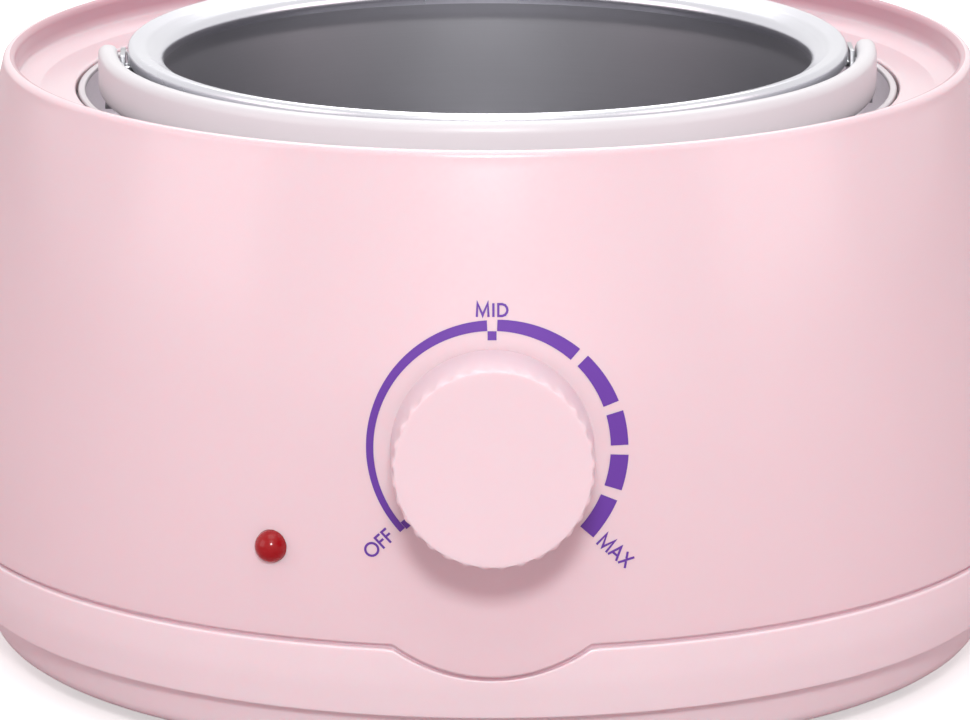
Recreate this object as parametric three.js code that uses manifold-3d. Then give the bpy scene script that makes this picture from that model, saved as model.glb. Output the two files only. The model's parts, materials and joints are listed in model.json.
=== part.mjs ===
// Round tabletop wax heater: a pink casing, a loose aluminium pot with a lying bail handle,
// and a thermostat knob with an indicator lamp on the front.
// Millimetres, +Z up, the front faces -Y, and z = 0 is the surface that the feet stand on.
import * as THREE from "three";
import { mergeVertices } from "three/addons/utils/BufferGeometryUtils.js";
import Module from "manifold-3d";

const wasm = await Module();
wasm.setup();

// How finely round things are cut
const casingSides = 60;
const potSides = 48;
const smallSides = 16;
const screwSides = 10;
const wireSides = 6;
const arcSteps = 3;

// Clearances shared by every fit
const seatGap = 0.3;
const overrun = 2;

// Pot: its mouth sets every other radius from the inside out
const potMouthRadius = 52;
const potNeckSpread = 0.8;
const potBulge = 1.5;
const potLipWidth = 6.2;
const potLipRound = 1;
const potCrownRise = 1.4;
const potLipRise = 2.8;
const potLipCurl = 2.4;
const potNeckHeight = 1.9;
const potBeadHeight = 0.6;
const potWall = 1.1;
const potFloor = 1.2;
const potCorner = 8;
const potTurn = 1.75;

// Ears on the pot that carry the bail
const earSheet = 0.8;
const earWidth = 7;
const earFootDrop = 8;
const earStepDrop = 6.4;
const earTopRise = 2.6;
const earHoleRadius = 1.1;
const earShelfLength = 18;
const earShelfReach = 3.2;

// Bail handle
const bailLipGap = 1.5;
const bailThickness = 3.2;
const bailHeight = 7.4;
const bailPivotDrop = 4.1;
const bailDroop = 0.75;
const bailEdgeRound = 1.4;
const bailArcSteps = 32;
const hookRadius = 0.8;
const hookHeadRadius = 1.4;
const hookHeadLength = 0.9;
const hookSink = 2.2;
const hookReach = 2;

// Heating well
const potWellGap = 1.6;
const bailWellGap = 2.1;
const wellWall = 1.2;
const wellFlange = 3;
const wellBelowDeck = 0.2;
const wellHoleGap = 0.4;
const wellShoulderBelowPivot = 14.8;
const wellShoulderDrop = 2.5;
const wellFloorHeight = 30;
const wellCorner = 5;
const studRadius = 2;
const studCollarRadius = 4.5;

// Casing
const rimHeight = 97.5;
const seamHeight = 22.2;
const recessWidth = 13;
const wallSwell = 9.5;
const casingWall = 2.4;
const wallSteps = 6;
const rimRound = 1.1;
const recessDepth = 5.5;
const deckThickness = 2.2;
const deckEdgeRound = 0.4;
const recessSlopeDrop = 1.2;
const recessSlopeRun = 3.8;

// Parting groove between casing and base, with its dip at the front
const seamGap = 0.7;
const dipHalfWidth = 15.2;
const dipDepth = 4.9;
const tongueHeight = 3;
const tongueThickness = 1.6;

// Base
const ledgeInset = 2.3;
const ledgeHeight = 10.5;
const ledgeStep = 2;
const baseSwell = 0.25;
const footRingDraft = 1.6;
const footRingCorner = 3;
const baseBottom = 2.9;
const baseFloor = 2.2;
const baseWall = 2.6;
const ventCount = 12;
const ventInnerRadius = 20;
const ventLength = 16;
const ventWidth = 2.2;

// Screws that hold the base to the casing
const screwInset = 13.5;
const screwAngle = 30;
const bossRadius = 3.6;
const bossHeight = 16;
const bossRib = 2.4;
const screwShankRadius = 1.5;
const screwHeadRadius = 3;
const screwHeadHeight = 2.4;
const screwGrip = 11;
const counterboreDepth = 9.1;

// Feet
const footRadius = 7;
const footInset = 16.5;
const footAngle = 60;
const footRecess = 0.8;

// Clips that hold the well under the deck
const clipOutset = 3.8;
const clipAngle = 45;
const clipBossRadius = 2.8;
const clipBossLength = 9;
const clipThickness = 1;
const clipWidth = 8;
const clipScrewRadius = 1.2;
const clipScrewHeadRadius = 2.4;
const clipScrewHeadHeight = 1.8;
const clipScrewGrip = 6;

// Tubular heating element under the well
const elementInset = 18.2;
const elementRadius = 3.2;
const elementGapAngle = 40;
const elementDrop = 9;
const elementBend = 6;
const elementSteps = 44;
const clampPlateReach = 8;
const clampPlateThickness = 1;
const clampNutAcross = 7;
const clampNutHeight = 3.2;

// Control axis, knob, shaft and thermostat
const controlAboveSeam = 31;
const knobFaceRadius = 15.15;
const knobFlare = 0.25;
const knobStandoff = 19.5;
const knobWallGap = 1;
const knobFlutes = 33;
const knobFluteDepth = 0.35;
const knobSkin = 1.8;
const knobEdgeRound = 0.6;
const knobHubRadius = 5.5;
const shaftRadius = 3;
const shaftFlat = 2;
const shaftEngagement = 12;
const shaftInBody = 10;
const knobClipThickness = 0.5;
const knobClipWidth = 3;
const knobClipLength = 8;
const thermostatRadius = 12;
const thermostatThickness = 13;
const thermostatBehindWall = 7.6;
const thermostatNeckRadius = 5;
const thermostatNeckLength = 4;
const bracketThickness = 1;
const bracketWidth = 26;
const bracketHeight = 20;

// Indicator lamp
const lampAboveSeam = 14.4;
const lampAzimuth = -22.7;
const lampRadius = 2.5;
const lampStandoff = 2.4;
const lampFlangeStep = 0.5;
const lampFlangeThickness = 1;
const lampHolderWall = 1.8;
const lampHolderLength = 6;

// Cord gland at the back
const glandAboveSeam = 14.8;
const glandFlangeStep = 2.5;
const glandFlangeThickness = 2;
const glandBodyRadius = 5;
const glandBodyLength = 12;
const glandBore = 3.3;
const glandNutAcross = 14;
const glandNutThickness = 3.5;

// Terminal block on the base floor
const blockLength = 24;
const blockDepth = 11;
const blockHeight = 12;
const blockOutset = 5.8;
const blockScrewWells = 3;
const blockWellRadius = 1.8;
const blockWellDepth = 6;

// Thermal fuse on the side of the well
const fuseRadius = 3.2;
const fuseLength = 18;
const fuseAboveWellFloor = 12;
const fuseAzimuth = 110;
const fuseClipWall = 0.8;
const fuseClipHeight = 6;

// Internal wires
const wireRadius = 1.1;
const wireBelowShoulder = 13.4;
const wireSpanSteps = 3;

// Ledger of finishes: colour, roughness, metalness
const casingPink = [0xf3ccd0, 0.22, 0];
const basePink = [0xeec4c9, 0.28, 0];
const knobPink = [0xf6d7da, 0.4, 0];
const brightAluminium = [0xe8e8ea, 0.28, 1];
const satinAluminium = [0xb9babd, 0.42, 1];
const whitePlastic = [0xf4f2f4, 0.16, 0];
const wireSteel = [0xa9a9ad, 0.32, 1];
const zincSteel = [0xb4b6b8, 0.4, 1];
const brownPhenolic = [0x5b3a28, 0.6, 0];
const brass = [0xc8a55a, 0.35, 1];
const lampRed = [0xb30b14, 0.08, 0];
const blackPlastic = [0x26262a, 0.5, 0];
const greyRubber = [0x8c8688, 0.8, 0];
const elementSteel = [0x7d7a78, 0.5, 1];
const blockWhite = [0xe9e6dc, 0.5, 0];
const wireBrown = [0x6a3b22, 0.5, 0];
const wireBlue = [0x2b57a5, 0.5, 0];
const wireGreen = [0x6fae3a, 0.5, 0];

// Radii that follow from the mouth of the pot outwards
const potNeckRadius = potMouthRadius + potNeckSpread;
const potRadius = potMouthRadius + potBulge;
const potLipRadius = potMouthRadius + potLipWidth;
const potCrownRadius = potLipRadius - potLipRound;
const bailInnerRadius = potLipRadius + bailLipGap;
const wellLowerRadius = potRadius + potWall + potWellGap;
const wellRadius = bailInnerRadius + bailThickness + bailWellGap;
const rimRadius = wellRadius + recessWidth;
const seamRadius = rimRadius + wallSwell;
const ledgeRadius = seamRadius - ledgeInset;
const screwRingRadius = seamRadius - screwInset;
const footRingPlace = seamRadius - footInset;
const clipRingRadius = wellRadius + wellWall + wellFlange + clipOutset;
const elementRingRadius = wellLowerRadius - elementInset;
const clampPlateRadius = elementRingRadius + clampPlateReach;
const blockPlace = wellLowerRadius + blockOutset;
const knobBaseRadius = knobFaceRadius + knobFlare;
const lampFlangeRadius = lampRadius + lampFlangeStep;
const lampHolderRadius = lampFlangeRadius + lampHolderWall;
const glandFlangeRadius = glandBodyRadius + glandFlangeStep;

// Heights that follow from the rim, the seam and the floor of the well
const deckHeight = rimHeight - recessDepth;
const potCrownHeight = rimHeight + potCrownRise;
const potMouthHeight = potCrownHeight - potLipRise;
const bailPivotHeight = potCrownHeight - bailPivotDrop;
const wellShoulderHeight = bailPivotHeight - wellShoulderBelowPivot;
const controlHeight = seamHeight + controlAboveSeam;
const lampHeight = seamHeight + lampAboveSeam;
const glandHeight = seamHeight + glandAboveSeam;
const fuseHeight = wellFloorHeight + fuseAboveWellFloor;

const degree = Math.PI / 180;
const v2 = (x, y) => new THREE.Vector2(x, y);
const v3 = (x, y, z) => new THREE.Vector3(x, y, z);

// A closed surface as a solid that can be joined and cut
function solid(geometry) {
  const bare = geometry.index ? geometry.toNonIndexed() : geometry.clone();
  bare.deleteAttribute("normal");
  bare.deleteAttribute("uv");
  const merged = mergeVertices(bare, 1e-4);
  const corners = merged.index.array;
  const faces = [];
  for (let i = 0; i < corners.length; i += 3) {
    const [a, b, c] = [corners[i], corners[i + 1], corners[i + 2]];
    if (a !== b && b !== c && c !== a) faces.push(a, b, c);
  }
  return new wasm.Manifold(
    new wasm.Mesh({
      numProp: 3,
      vertProperties: merged.attributes.position.array,
      triVerts: new Uint32Array(faces),
    }),
  );
}

// A solid as a surface with flat facets
function geometryOf(body) {
  const { vertProperties, triVerts } = body.getMesh();
  const indexed = new THREE.BufferGeometry();
  indexed.setAttribute("position", new THREE.BufferAttribute(vertProperties, 3));
  indexed.setIndex(new THREE.BufferAttribute(triVerts, 1));
  const faceted = indexed.toNonIndexed();
  faceted.computeVertexNormals();
  return faceted;
}

// One named piece with its own finish
function piece(name, body, [color, roughness, metalness]) {
  const material = new THREE.MeshStandardMaterial({ color, roughness, metalness });
  const mesh = new THREE.Mesh(geometryOf(body), material);
  mesh.name = name;
  return mesh;
}

// An outline of radius and height turned about the Z axis
function revolve(outline, sides) {
  const onAxis = outline[0].x === 0;
  const closed = onAxis ? [...outline] : [...outline, outline[0].clone()];
  if (THREE.ShapeUtils.area(outline) < 0) closed.reverse();
  const turned = new THREE.LatheGeometry(closed, sides);
  turned.rotateX(Math.PI / 2);
  return solid(turned);
}

// Points of a round corner from one angle to another
function arc(centre, radius, fromAngle, toAngle, steps = arcSteps) {
  const points = [];
  for (let i = 0; i <= steps; i++) {
    const angle = (fromAngle + ((toAngle - fromAngle) * i) / steps) * degree;
    points.push(v2(centre.x + radius * Math.cos(angle), centre.y + radius * Math.sin(angle)));
  }
  return points;
}

// A round bar between two points
function rod(radius, start, end, sides = smallSides) {
  const run = end.clone().sub(start);
  const bar = new THREE.CylinderGeometry(radius, radius, run.length(), sides);
  const turn = new THREE.Quaternion().setFromUnitVectors(v3(0, 1, 0), run.clone().normalize());
  bar.applyQuaternion(turn);
  bar.translate(...start.clone().add(end).multiplyScalar(0.5).toArray());
  return solid(bar);
}

// A round bar along Z
function post(radius, x, y, fromZ, toZ, sides = smallSides) {
  return rod(radius, v3(x, y, fromZ), v3(x, y, toZ), sides);
}

// A box between two corners
function block(low, high) {
  const box = new THREE.BoxGeometry(high.x - low.x, high.y - low.y, high.z - low.z);
  box.translate((low.x + high.x) / 2, (low.y + high.y) / 2, (low.z + high.z) / 2);
  return solid(box);
}

// A hexagonal prism along Z
function hexagon(across, fromZ, toZ) {
  return post(across / Math.sqrt(3), 0, 0, fromZ, toZ, 6);
}

// A tube along a curve
function tube(curve, radius, sides, steps) {
  const section = new THREE.Shape(arc(v2(0, 0), radius, 0, 360 - 360 / sides, sides - 1));
  return solid(new THREE.ExtrudeGeometry(section, { steps, extrudePath: curve }));
}

function turned(body, degrees) {
  return body.rotate([0, 0, degrees]);
}

// The four places that mirror one angle about both upright planes
function fourAngles(angle) {
  return [angle, 180 - angle, 180 + angle, -angle];
}

function onRing(radius, degrees, z = 0) {
  return v3(radius * Math.cos(degrees * degree), radius * Math.sin(degrees * degree), z);
}

// The casing's side swells from the rim to the seam as a parabola
function wallRadius(z) {
  const share = (z - seamHeight) / (rimHeight - seamHeight);
  return seamRadius - (seamRadius - rimRadius) * share * share;
}

function wallTilt(z) {
  const rise = rimHeight - seamHeight;
  return Math.atan((2 * (seamRadius - rimRadius) * (z - seamHeight)) / (rise * rise));
}

// A group whose +Z leaves the casing's side squarely, at an angle counted from the front
function onCasingSide(azimuth, z) {
  const spin = new THREE.Group();
  spin.rotation.z = azimuth * degree;
  const place = new THREE.Group();
  place.position.set(0, -wallRadius(z), z);
  place.rotation.x = Math.PI / 2 - wallTilt(z);
  spin.add(place);
  spin.updateMatrixWorld(true);
  return { spin, place };
}

// The same place as a transform for cutting the casing itself
function casingTransform(azimuth, z) {
  return [...onCasingSide(azimuth, z).place.matrixWorld.elements];
}

// The arc of the dip passes through both ends of its width and through its lowest point
const dipArcRadius = (dipHalfWidth * dipHalfWidth + dipDepth * dipDepth) / (2 * dipDepth);
const dipArcHeight = seamHeight - dipDepth + dipArcRadius;
const halfSeam = seamGap / 2;
const casingInnerAtSeam = seamRadius - casingWall;
const tongueRadius = casingInnerAtSeam - seatGap;
const tongueTop = seamHeight + tongueHeight;
const bossBottom = tongueTop + seatGap;
const deckUnderside = deckHeight - deckThickness;
const wellHoleRadius = wellRadius + wellWall + wellHoleGap;
const rimInnerRadius = wallRadius(rimHeight - rimRound) - 2 * rimRound;

function dipCylinder(radius) {
  const start = v3(0, -seamRadius - overrun, dipArcHeight);
  return rod(radius, start, v3(0, 0, dipArcHeight), casingSides * 2);
}

function casingOutline() {
  const bottom = seamHeight - dipDepth - halfSeam;
  const wallTop = rimHeight - rimRound;
  const outside = [];
  for (let i = 0; i <= wallSteps; i++) {
    const z = bottom + ((wallTop - bottom) * i) / wallSteps;
    outside.push(v2(wallRadius(z), z));
  }
  const rim = arc(v2(rimInnerRadius + rimRound, wallTop), rimRound, 0, 180, 2 * arcSteps).slice(1);
  const slopeTop = deckHeight + recessSlopeDrop;
  const holeCorner = v2(wellHoleRadius + deckEdgeRound, deckHeight - deckEdgeRound);
  const inside = [];
  for (let i = 0; i <= wallSteps; i++) {
    const z = deckUnderside + ((bottom - deckUnderside) * i) / wallSteps;
    inside.push(v2(wallRadius(z) - casingWall, z));
  }
  return [
    ...outside,
    ...rim,
    v2(rimInnerRadius, slopeTop),
    v2(rimInnerRadius - recessSlopeRun, deckHeight),
    ...arc(holeCorner, deckEdgeRound, 90, 180, 2),
    v2(wellHoleRadius, deckUnderside),
    ...inside,
  ];
}

// One screw boss inside the casing's wall, with the rib that ties it to the wall
function casingBoss(angle) {
  const top = bossBottom + bossHeight;
  const reach = casingInnerAtSeam + casingWall / 4;
  const rib = block(v3(screwRingRadius, -bossRib / 2, bossBottom), v3(reach, bossRib / 2, top));
  const whole = post(bossRadius, screwRingRadius, 0, bossBottom, top, screwSides).add(rib);
  const bore = post(
    screwShankRadius + seatGap / 2,
    screwRingRadius,
    0,
    bossBottom - overrun,
    bossBottom + screwGrip + seatGap,
    screwSides,
  );
  return turned(whole.subtract(bore), angle);
}

// One boss under the deck for a well clip
function clipBoss(angle) {
  const bottom = deckUnderside - clipBossLength;
  const whole = post(
    clipBossRadius,
    clipRingRadius,
    0,
    bottom,
    deckUnderside + deckThickness / 4,
    screwSides,
  );
  const bore = post(
    clipScrewRadius + seatGap / 2,
    clipRingRadius,
    0,
    bottom - overrun,
    bottom + clipScrewGrip + seatGap,
    screwSides,
  );
  return turned(whole.subtract(bore), angle);
}

function sideHole(radius, azimuth, z) {
  const drill = post(radius, 0, 0, -casingWall - overrun, overrun, smallSides);
  return drill.transform(casingTransform(azimuth, z));
}

function makeCasing() {
  let body = revolve(casingOutline(), casingSides);
  const lowest = seamHeight - dipDepth - overrun;
  const below = post(seamRadius + overrun, 0, 0, lowest, seamHeight + halfSeam, casingSides);
  body = body.subtract(below.subtract(dipCylinder(dipArcRadius - halfSeam)));
  for (const angle of fourAngles(screwAngle)) body = body.add(casingBoss(angle));
  for (const angle of fourAngles(clipAngle)) body = body.add(clipBoss(angle));
  body = body.subtract(sideHole(shaftRadius + 2 * seatGap, 0, controlHeight));
  body = body.subtract(sideHole(lampRadius + seatGap, lampAzimuth, lampHeight));
  body = body.subtract(sideHole(glandBodyRadius + seatGap, 180, glandHeight));
  return piece("upper_shell", body, casingPink);
}

function baseOutline() {
  const cornerRadius = ledgeRadius - ledgeStep - footRingDraft - footRingCorner;
  const corner = v2(cornerRadius, baseBottom + footRingCorner);
  const seamTop = seamHeight - halfSeam;
  const floorTop = baseBottom + baseFloor;
  const tongueInner = tongueRadius - tongueThickness;
  return [
    v2(0, baseBottom),
    ...arc(corner, footRingCorner, -90, 0),
    v2(ledgeRadius - ledgeStep, ledgeHeight),
    v2(ledgeRadius, ledgeHeight),
    v2((ledgeRadius + seamRadius) / 2 + baseSwell, (ledgeHeight + seamTop) / 2),
    v2(seamRadius, seamTop),
    v2(tongueRadius, seamTop),
    v2(tongueRadius, tongueTop),
    v2(tongueInner, tongueTop),
    v2(tongueInner, ledgeHeight + baseWall),
    v2(cornerRadius + footRingCorner - baseWall, ledgeHeight),
    v2(cornerRadius + footRingCorner - baseWall, floorTop + baseWall),
    v2(cornerRadius + footRingCorner - 2 * baseWall, floorTop),
    v2(0, floorTop),
  ];
}

// One post that a base screw passes through
function basePost(angle) {
  const whole = post(bossRadius, screwRingRadius, 0, baseBottom + baseFloor / 2, tongueTop, screwSides);
  const sleeve = post(
    screwHeadRadius + baseWall / 2,
    screwRingRadius,
    0,
    baseBottom,
    baseBottom + counterboreDepth + baseWall / 2,
    screwSides,
  );
  return turned(whole.add(sleeve), angle);
}

function basePostBore(angle) {
  const drill = post(
    screwShankRadius + seatGap,
    screwRingRadius,
    0,
    0,
    tongueTop + overrun,
    screwSides,
  );
  const head = post(
    screwHeadRadius + seatGap,
    screwRingRadius,
    0,
    0,
    baseBottom + counterboreDepth,
    screwSides,
  );
  return turned(drill.add(head), angle);
}

function makeBase() {
  let body = revolve(baseOutline(), casingSides);
  const tabSpace = dipCylinder(dipArcRadius + halfSeam);
  const keep = post(tongueRadius, 0, 0, 0, dipArcHeight + dipArcRadius, casingSides);
  body = body.subtract(tabSpace.subtract(keep));
  for (const angle of fourAngles(screwAngle)) {
    body = body.add(basePost(angle)).subtract(basePostBore(angle));
  }
  for (const angle of fourAngles(footAngle)) {
    const place = onRing(footRingPlace, angle);
    body = body.subtract(post(
      footRadius + seatGap,
      place.x,
      place.y,
      0,
      baseBottom + footRecess,
      smallSides,
    ));
  }
  for (let i = 0; i < ventCount; i++) {
    const slot = block(
      v3(ventInnerRadius, -ventWidth / 2, 0),
      v3(ventInnerRadius + ventLength, ventWidth / 2, baseBottom + baseFloor + overrun),
    );
    body = body.subtract(turned(slot, (360 * i) / ventCount));
  }
  return piece("base_pan", body, basePink);
}

function makeFeet() {
  const top = baseBottom + footRecess - seatGap;
  return fourAngles(footAngle).map((angle, i) => {
    const place = onRing(footRingPlace, angle);
    return piece(`foot_${i + 1}`, post(footRadius, place.x, place.y, 0, top), greyRubber);
  });
}

function makeBaseScrews() {
  const headTop = baseBottom + counterboreDepth - seatGap;
  const tip = bossBottom + screwGrip;
  return fourAngles(screwAngle).map((angle, i) => {
    const place = onRing(screwRingRadius, angle);
    const head = post(
      screwHeadRadius,
      place.x,
      place.y,
      headTop - screwHeadHeight,
      headTop,
      screwSides,
    );
    const shank = post(
      screwShankRadius - seatGap / 2,
      place.x,
      place.y,
      headTop - seatGap,
      tip,
      screwSides,
    );
    return piece(`base_screw_${i + 1}`, head.add(shank), zincSteel);
  });
}

// Heating well: a stepped aluminium cup whose flange lies under the deck
const flangeTop = deckUnderside - seatGap;
const wellTop = deckHeight - wellBelowDeck;
const wellLowerOuter = wellLowerRadius + wellWall;
const studCollarBottom = wellFloorHeight - wellWall - 2 * elementRadius - seatGap;
const studBottom = studCollarBottom - 3 * seatGap - clampPlateThickness - 1.5 * clampNutHeight;

function wellOutline() {
  const shoulderFoot = wellShoulderHeight - wellShoulderDrop;
  const innerCorner = v2(wellLowerRadius - wellCorner, wellFloorHeight + wellCorner);
  const outerCorner = wellCorner + wellWall;
  return [
    v2(0, wellFloorHeight),
    ...arc(innerCorner, wellCorner, -90, 0),
    v2(wellLowerRadius, shoulderFoot),
    v2(wellLowerRadius + wellShoulderDrop, wellShoulderHeight),
    v2(wellRadius - wellShoulderDrop, wellShoulderHeight),
    v2(wellRadius, wellShoulderHeight + wellShoulderDrop),
    v2(wellRadius, wellTop),
    v2(wellRadius + wellWall, wellTop),
    v2(wellRadius + wellWall, flangeTop),
    v2(wellRadius + wellWall + wellFlange, flangeTop),
    v2(wellRadius + wellWall + wellFlange, flangeTop - wellWall),
    v2(wellRadius + wellWall, flangeTop - wellWall),
    v2(wellRadius + wellWall, wellShoulderHeight + wellShoulderDrop - wellWall / 2),
    v2(wellRadius - wellShoulderDrop + wellWall / 2, wellShoulderHeight - wellWall),
    v2(wellLowerOuter + wellShoulderDrop - wellWall / 2, wellShoulderHeight - wellWall),
    v2(wellLowerOuter, shoulderFoot - wellWall / 2),
    ...arc(innerCorner, outerCorner, 0, -90),
    v2(0, wellFloorHeight - wellWall),
  ];
}

function makeWell() {
  const collar = post(
    studCollarRadius,
    0,
    0,
    studCollarBottom,
    wellFloorHeight - wellWall / 2,
    smallSides,
  );
  const stud = post(studRadius, 0, 0, studBottom, studCollarBottom + seatGap, screwSides);
  return piece("heating_well", revolve(wellOutline(), potSides).add(collar).add(stud), satinAluminium);
}

// Sheet clips that hook under the well's flange, and their screws
const clipBase = deckUnderside - clipBossLength - seatGap;

function makeWellClips() {
  const flangeUnderside = flangeTop - wellWall;
  const tip = flangeUnderside - seatGap;
  const riser = wellRadius + wellWall + wellFlange + seatGap;
  const outline = new THREE.Shape([
    v2(clipRingRadius + clipBossRadius, clipBase),
    v2(riser, clipBase),
    v2(riser, tip),
    v2(wellRadius + wellWall + seatGap, tip),
    v2(wellRadius + wellWall + seatGap, tip - clipThickness),
    v2(riser - clipThickness, tip - clipThickness),
    v2(riser - clipThickness, clipBase - clipThickness),
    v2(clipRingRadius + clipBossRadius, clipBase - clipThickness),
  ]);
  const strip = new THREE.ExtrudeGeometry(outline, { depth: clipWidth, bevelEnabled: false });
  strip.translate(0, 0, -clipWidth / 2);
  strip.rotateX(Math.PI / 2);
  const hole = post(
    clipScrewRadius + seatGap,
    clipRingRadius,
    0,
    clipBase - clipThickness - overrun,
    clipBase + overrun,
    screwSides,
  );
  const clip = solid(strip).subtract(hole);
  return fourAngles(clipAngle).map((angle, i) => {
    return piece(`well_clip_${i + 1}`, turned(clip, angle), zincSteel);
  });
}

function makeClipScrews() {
  const headTop = clipBase - clipThickness - seatGap;
  return fourAngles(clipAngle).map((angle, i) => {
    const place = onRing(clipRingRadius, angle);
    const head = post(
      clipScrewHeadRadius,
      place.x,
      place.y,
      headTop - clipScrewHeadHeight,
      headTop,
      screwSides,
    );
    const tip = deckUnderside - clipBossLength + clipScrewGrip;
    const shank = post(
      clipScrewRadius - seatGap / 2,
      place.x,
      place.y,
      headTop - seatGap,
      tip,
      screwSides,
    );
    return piece(`clip_screw_${i + 1}`, head.add(shank), zincSteel);
  });
}

// Heating element: an open ring under the well whose two ends turn down
const elementHeight = wellFloorHeight - wellWall - seatGap - elementRadius;
const elementEndHeight = elementHeight - elementDrop;
const plateTop = elementHeight - elementRadius - seatGap;

function elementPath() {
  const path = new THREE.CurvePath();
  const half = elementGapAngle / 2;
  const bendAngle = elementBend / elementRingRadius / degree;
  const first = onRing(elementRingRadius, 90 + half, elementHeight);
  const last = onRing(elementRingRadius, 90 - half, elementHeight);
  const firstFoot = onRing(elementRingRadius, 90 + half - bendAngle, elementHeight - elementBend);
  const lastFoot = onRing(elementRingRadius, 90 - half + bendAngle, elementHeight - elementBend);
  const firstKnee = onRing(elementRingRadius, 90 + half - bendAngle, elementHeight);
  const lastKnee = onRing(elementRingRadius, 90 - half + bendAngle, elementHeight);
  path.add(new THREE.LineCurve3(firstFoot.clone().setZ(elementEndHeight), firstFoot));
  path.add(new THREE.QuadraticBezierCurve3(firstFoot, firstKnee, first));
  const ring = new THREE.Curve();
  ring.getPoint = (t, target = v3(0, 0, 0)) =>
    target.copy(onRing(elementRingRadius, 90 + half + (360 - elementGapAngle) * t, elementHeight));
  path.add(ring);
  path.add(new THREE.QuadraticBezierCurve3(last, lastKnee, lastFoot));
  path.add(new THREE.LineCurve3(lastFoot, lastFoot.clone().setZ(elementEndHeight)));
  return path;
}

function makeElement() {
  return piece("heating_element", tube(elementPath(), elementRadius, 8, elementSteps), elementSteel);
}

function makeClampPlate() {
  const plateBottom = plateTop - clampPlateThickness;
  const above = plateTop + overrun;
  const below = plateBottom - overrun;
  const plate = post(clampPlateRadius, 0, 0, plateBottom, plateTop, potSides / 2);
  const hole = post(studRadius + seatGap, 0, 0, below, above, screwSides);
  const half = elementGapAngle / 2 + (2 * elementRadius) / elementRingRadius / degree;
  const inner = onRing(elementRingRadius - elementRadius - overrun, 90 + half, below);
  const window = block(inner, v3(-inner.x, clampPlateRadius + overrun, above));
  return piece("element_clamp_plate", plate.subtract(hole).subtract(window), zincSteel);
}

function makeClampNut() {
  const top = plateTop - clampPlateThickness - seatGap;
  const nut = hexagon(clampNutAcross, top - clampNutHeight, top);
  const thread = post(
    studRadius + seatGap,
    0,
    0,
    top - clampNutHeight - overrun,
    top + overrun,
    screwSides,
  );
  return piece("element_clamp_nut", nut.subtract(thread), zincSteel);
}

// Knob: a fluted cup with a hub; +Z points away from the casing
function flutedOutline(radius) {
  const points = [];
  const perFlute = 4;
  for (let i = 0; i < knobFlutes * perFlute; i++) {
    const wave = Math.abs(Math.cos((Math.PI * i) / perFlute));
    const angle = (2 * Math.PI * i) / (knobFlutes * perFlute);
    const r = radius - knobFluteDepth * wave * wave;
    points.push(v2(r * Math.cos(angle), r * Math.sin(angle)));
  }
  return points;
}

// Stacked outlines of equal point counts, joined side by side and closed at both ends
function loft(rings) {
  const count = rings[0].outline.length;
  const positions = [];
  const at = (ring, i) => v3(ring.outline[i % count].x, ring.outline[i % count].y, ring.z);
  const face = (...corners) => corners.forEach((corner) => positions.push(...corner.toArray()));
  const first = rings[0];
  const last = rings[rings.length - 1];
  for (let i = 0; i < count; i++) {
    face(v3(0, 0, first.z), at(first, i + 1), at(first, i));
    face(v3(0, 0, last.z), at(last, i), at(last, i + 1));
    for (let k = 0; k + 1 < rings.length; k++) {
      face(at(rings[k], i), at(rings[k], i + 1), at(rings[k + 1], i + 1));
      face(at(rings[k], i), at(rings[k + 1], i + 1), at(rings[k + 1], i));
    }
  }
  const shape = new THREE.BufferGeometry();
  shape.setAttribute("position", new THREE.Float32BufferAttribute(positions, 3));
  return solid(shape);
}

// The part of a round bar that its flat leaves
function flattened(radius, flat, fromZ, toZ) {
  const bar = post(radius, 0, 0, fromZ, toZ, smallSides);
  const side = block(
    v3(-radius - overrun, flat, fromZ - overrun),
    v3(radius + overrun, radius + overrun, toZ + overrun),
  );
  return bar.subtract(side);
}

const shaftEnd = knobStandoff - knobSkin - seatGap;
const shaftFlatStart = shaftEnd - shaftEngagement;

function makeKnob() {
  const shoulder = knobStandoff - knobEdgeRound;
  const outer = loft([
    { z: knobWallGap, outline: flutedOutline(knobBaseRadius) },
    { z: shoulder, outline: flutedOutline(knobFaceRadius) },
    { z: knobStandoff, outline: flutedOutline(knobFaceRadius - knobEdgeRound) },
  ]);
  const inside = knobFaceRadius - knobFluteDepth - knobSkin;
  const hollow = post(inside, 0, 0, 0, knobStandoff - knobSkin, casingSides / 2);
  const hub = post(knobHubRadius, 0, 0, shaftFlatStart, knobStandoff - knobSkin / 2, smallSides);
  const boreFlat = shaftFlat + knobClipThickness + 2 * seatGap;
  const bore = flattened(shaftRadius + seatGap, boreFlat, shaftFlatStart - overrun, shaftEnd + seatGap);
  return piece("knob", outer.subtract(hollow).add(hub).subtract(bore), knobPink);
}

function makeKnobClip() {
  const low = shaftFlat + seatGap;
  const from = shaftEnd - knobClipLength;
  const body = block(
    v3(-knobClipWidth / 2, low, from),
    v3(knobClipWidth / 2, low + knobClipThickness, shaftEnd),
  );
  return piece("knob_clip", body, wireSteel);
}

const thermostatFront = -casingWall - thermostatBehindWall;
const thermostatBack = thermostatFront - thermostatThickness;
const shaftRoot = thermostatFront - shaftInBody;

function makeShaft() {
  const round = post(shaftRadius, 0, 0, shaftRoot, shaftFlatStart, smallSides);
  const flat = flattened(shaftRadius, shaftFlat, shaftFlatStart - seatGap, shaftEnd);
  return piece("thermostat_shaft", round.add(flat), brass);
}

function makeThermostat() {
  const core = post(thermostatRadius, 0, 0, thermostatBack, thermostatFront, smallSides);
  const neck = post(
    thermostatNeckRadius,
    0,
    0,
    thermostatFront - overrun,
    thermostatFront + thermostatNeckLength,
    smallSides,
  );
  const bore = post(
    shaftRadius + seatGap,
    0,
    0,
    shaftRoot - seatGap,
    thermostatFront + thermostatNeckLength + overrun,
    smallSides,
  );
  return piece("thermostat_body", core.add(neck).subtract(bore), brownPhenolic);
}

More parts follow.
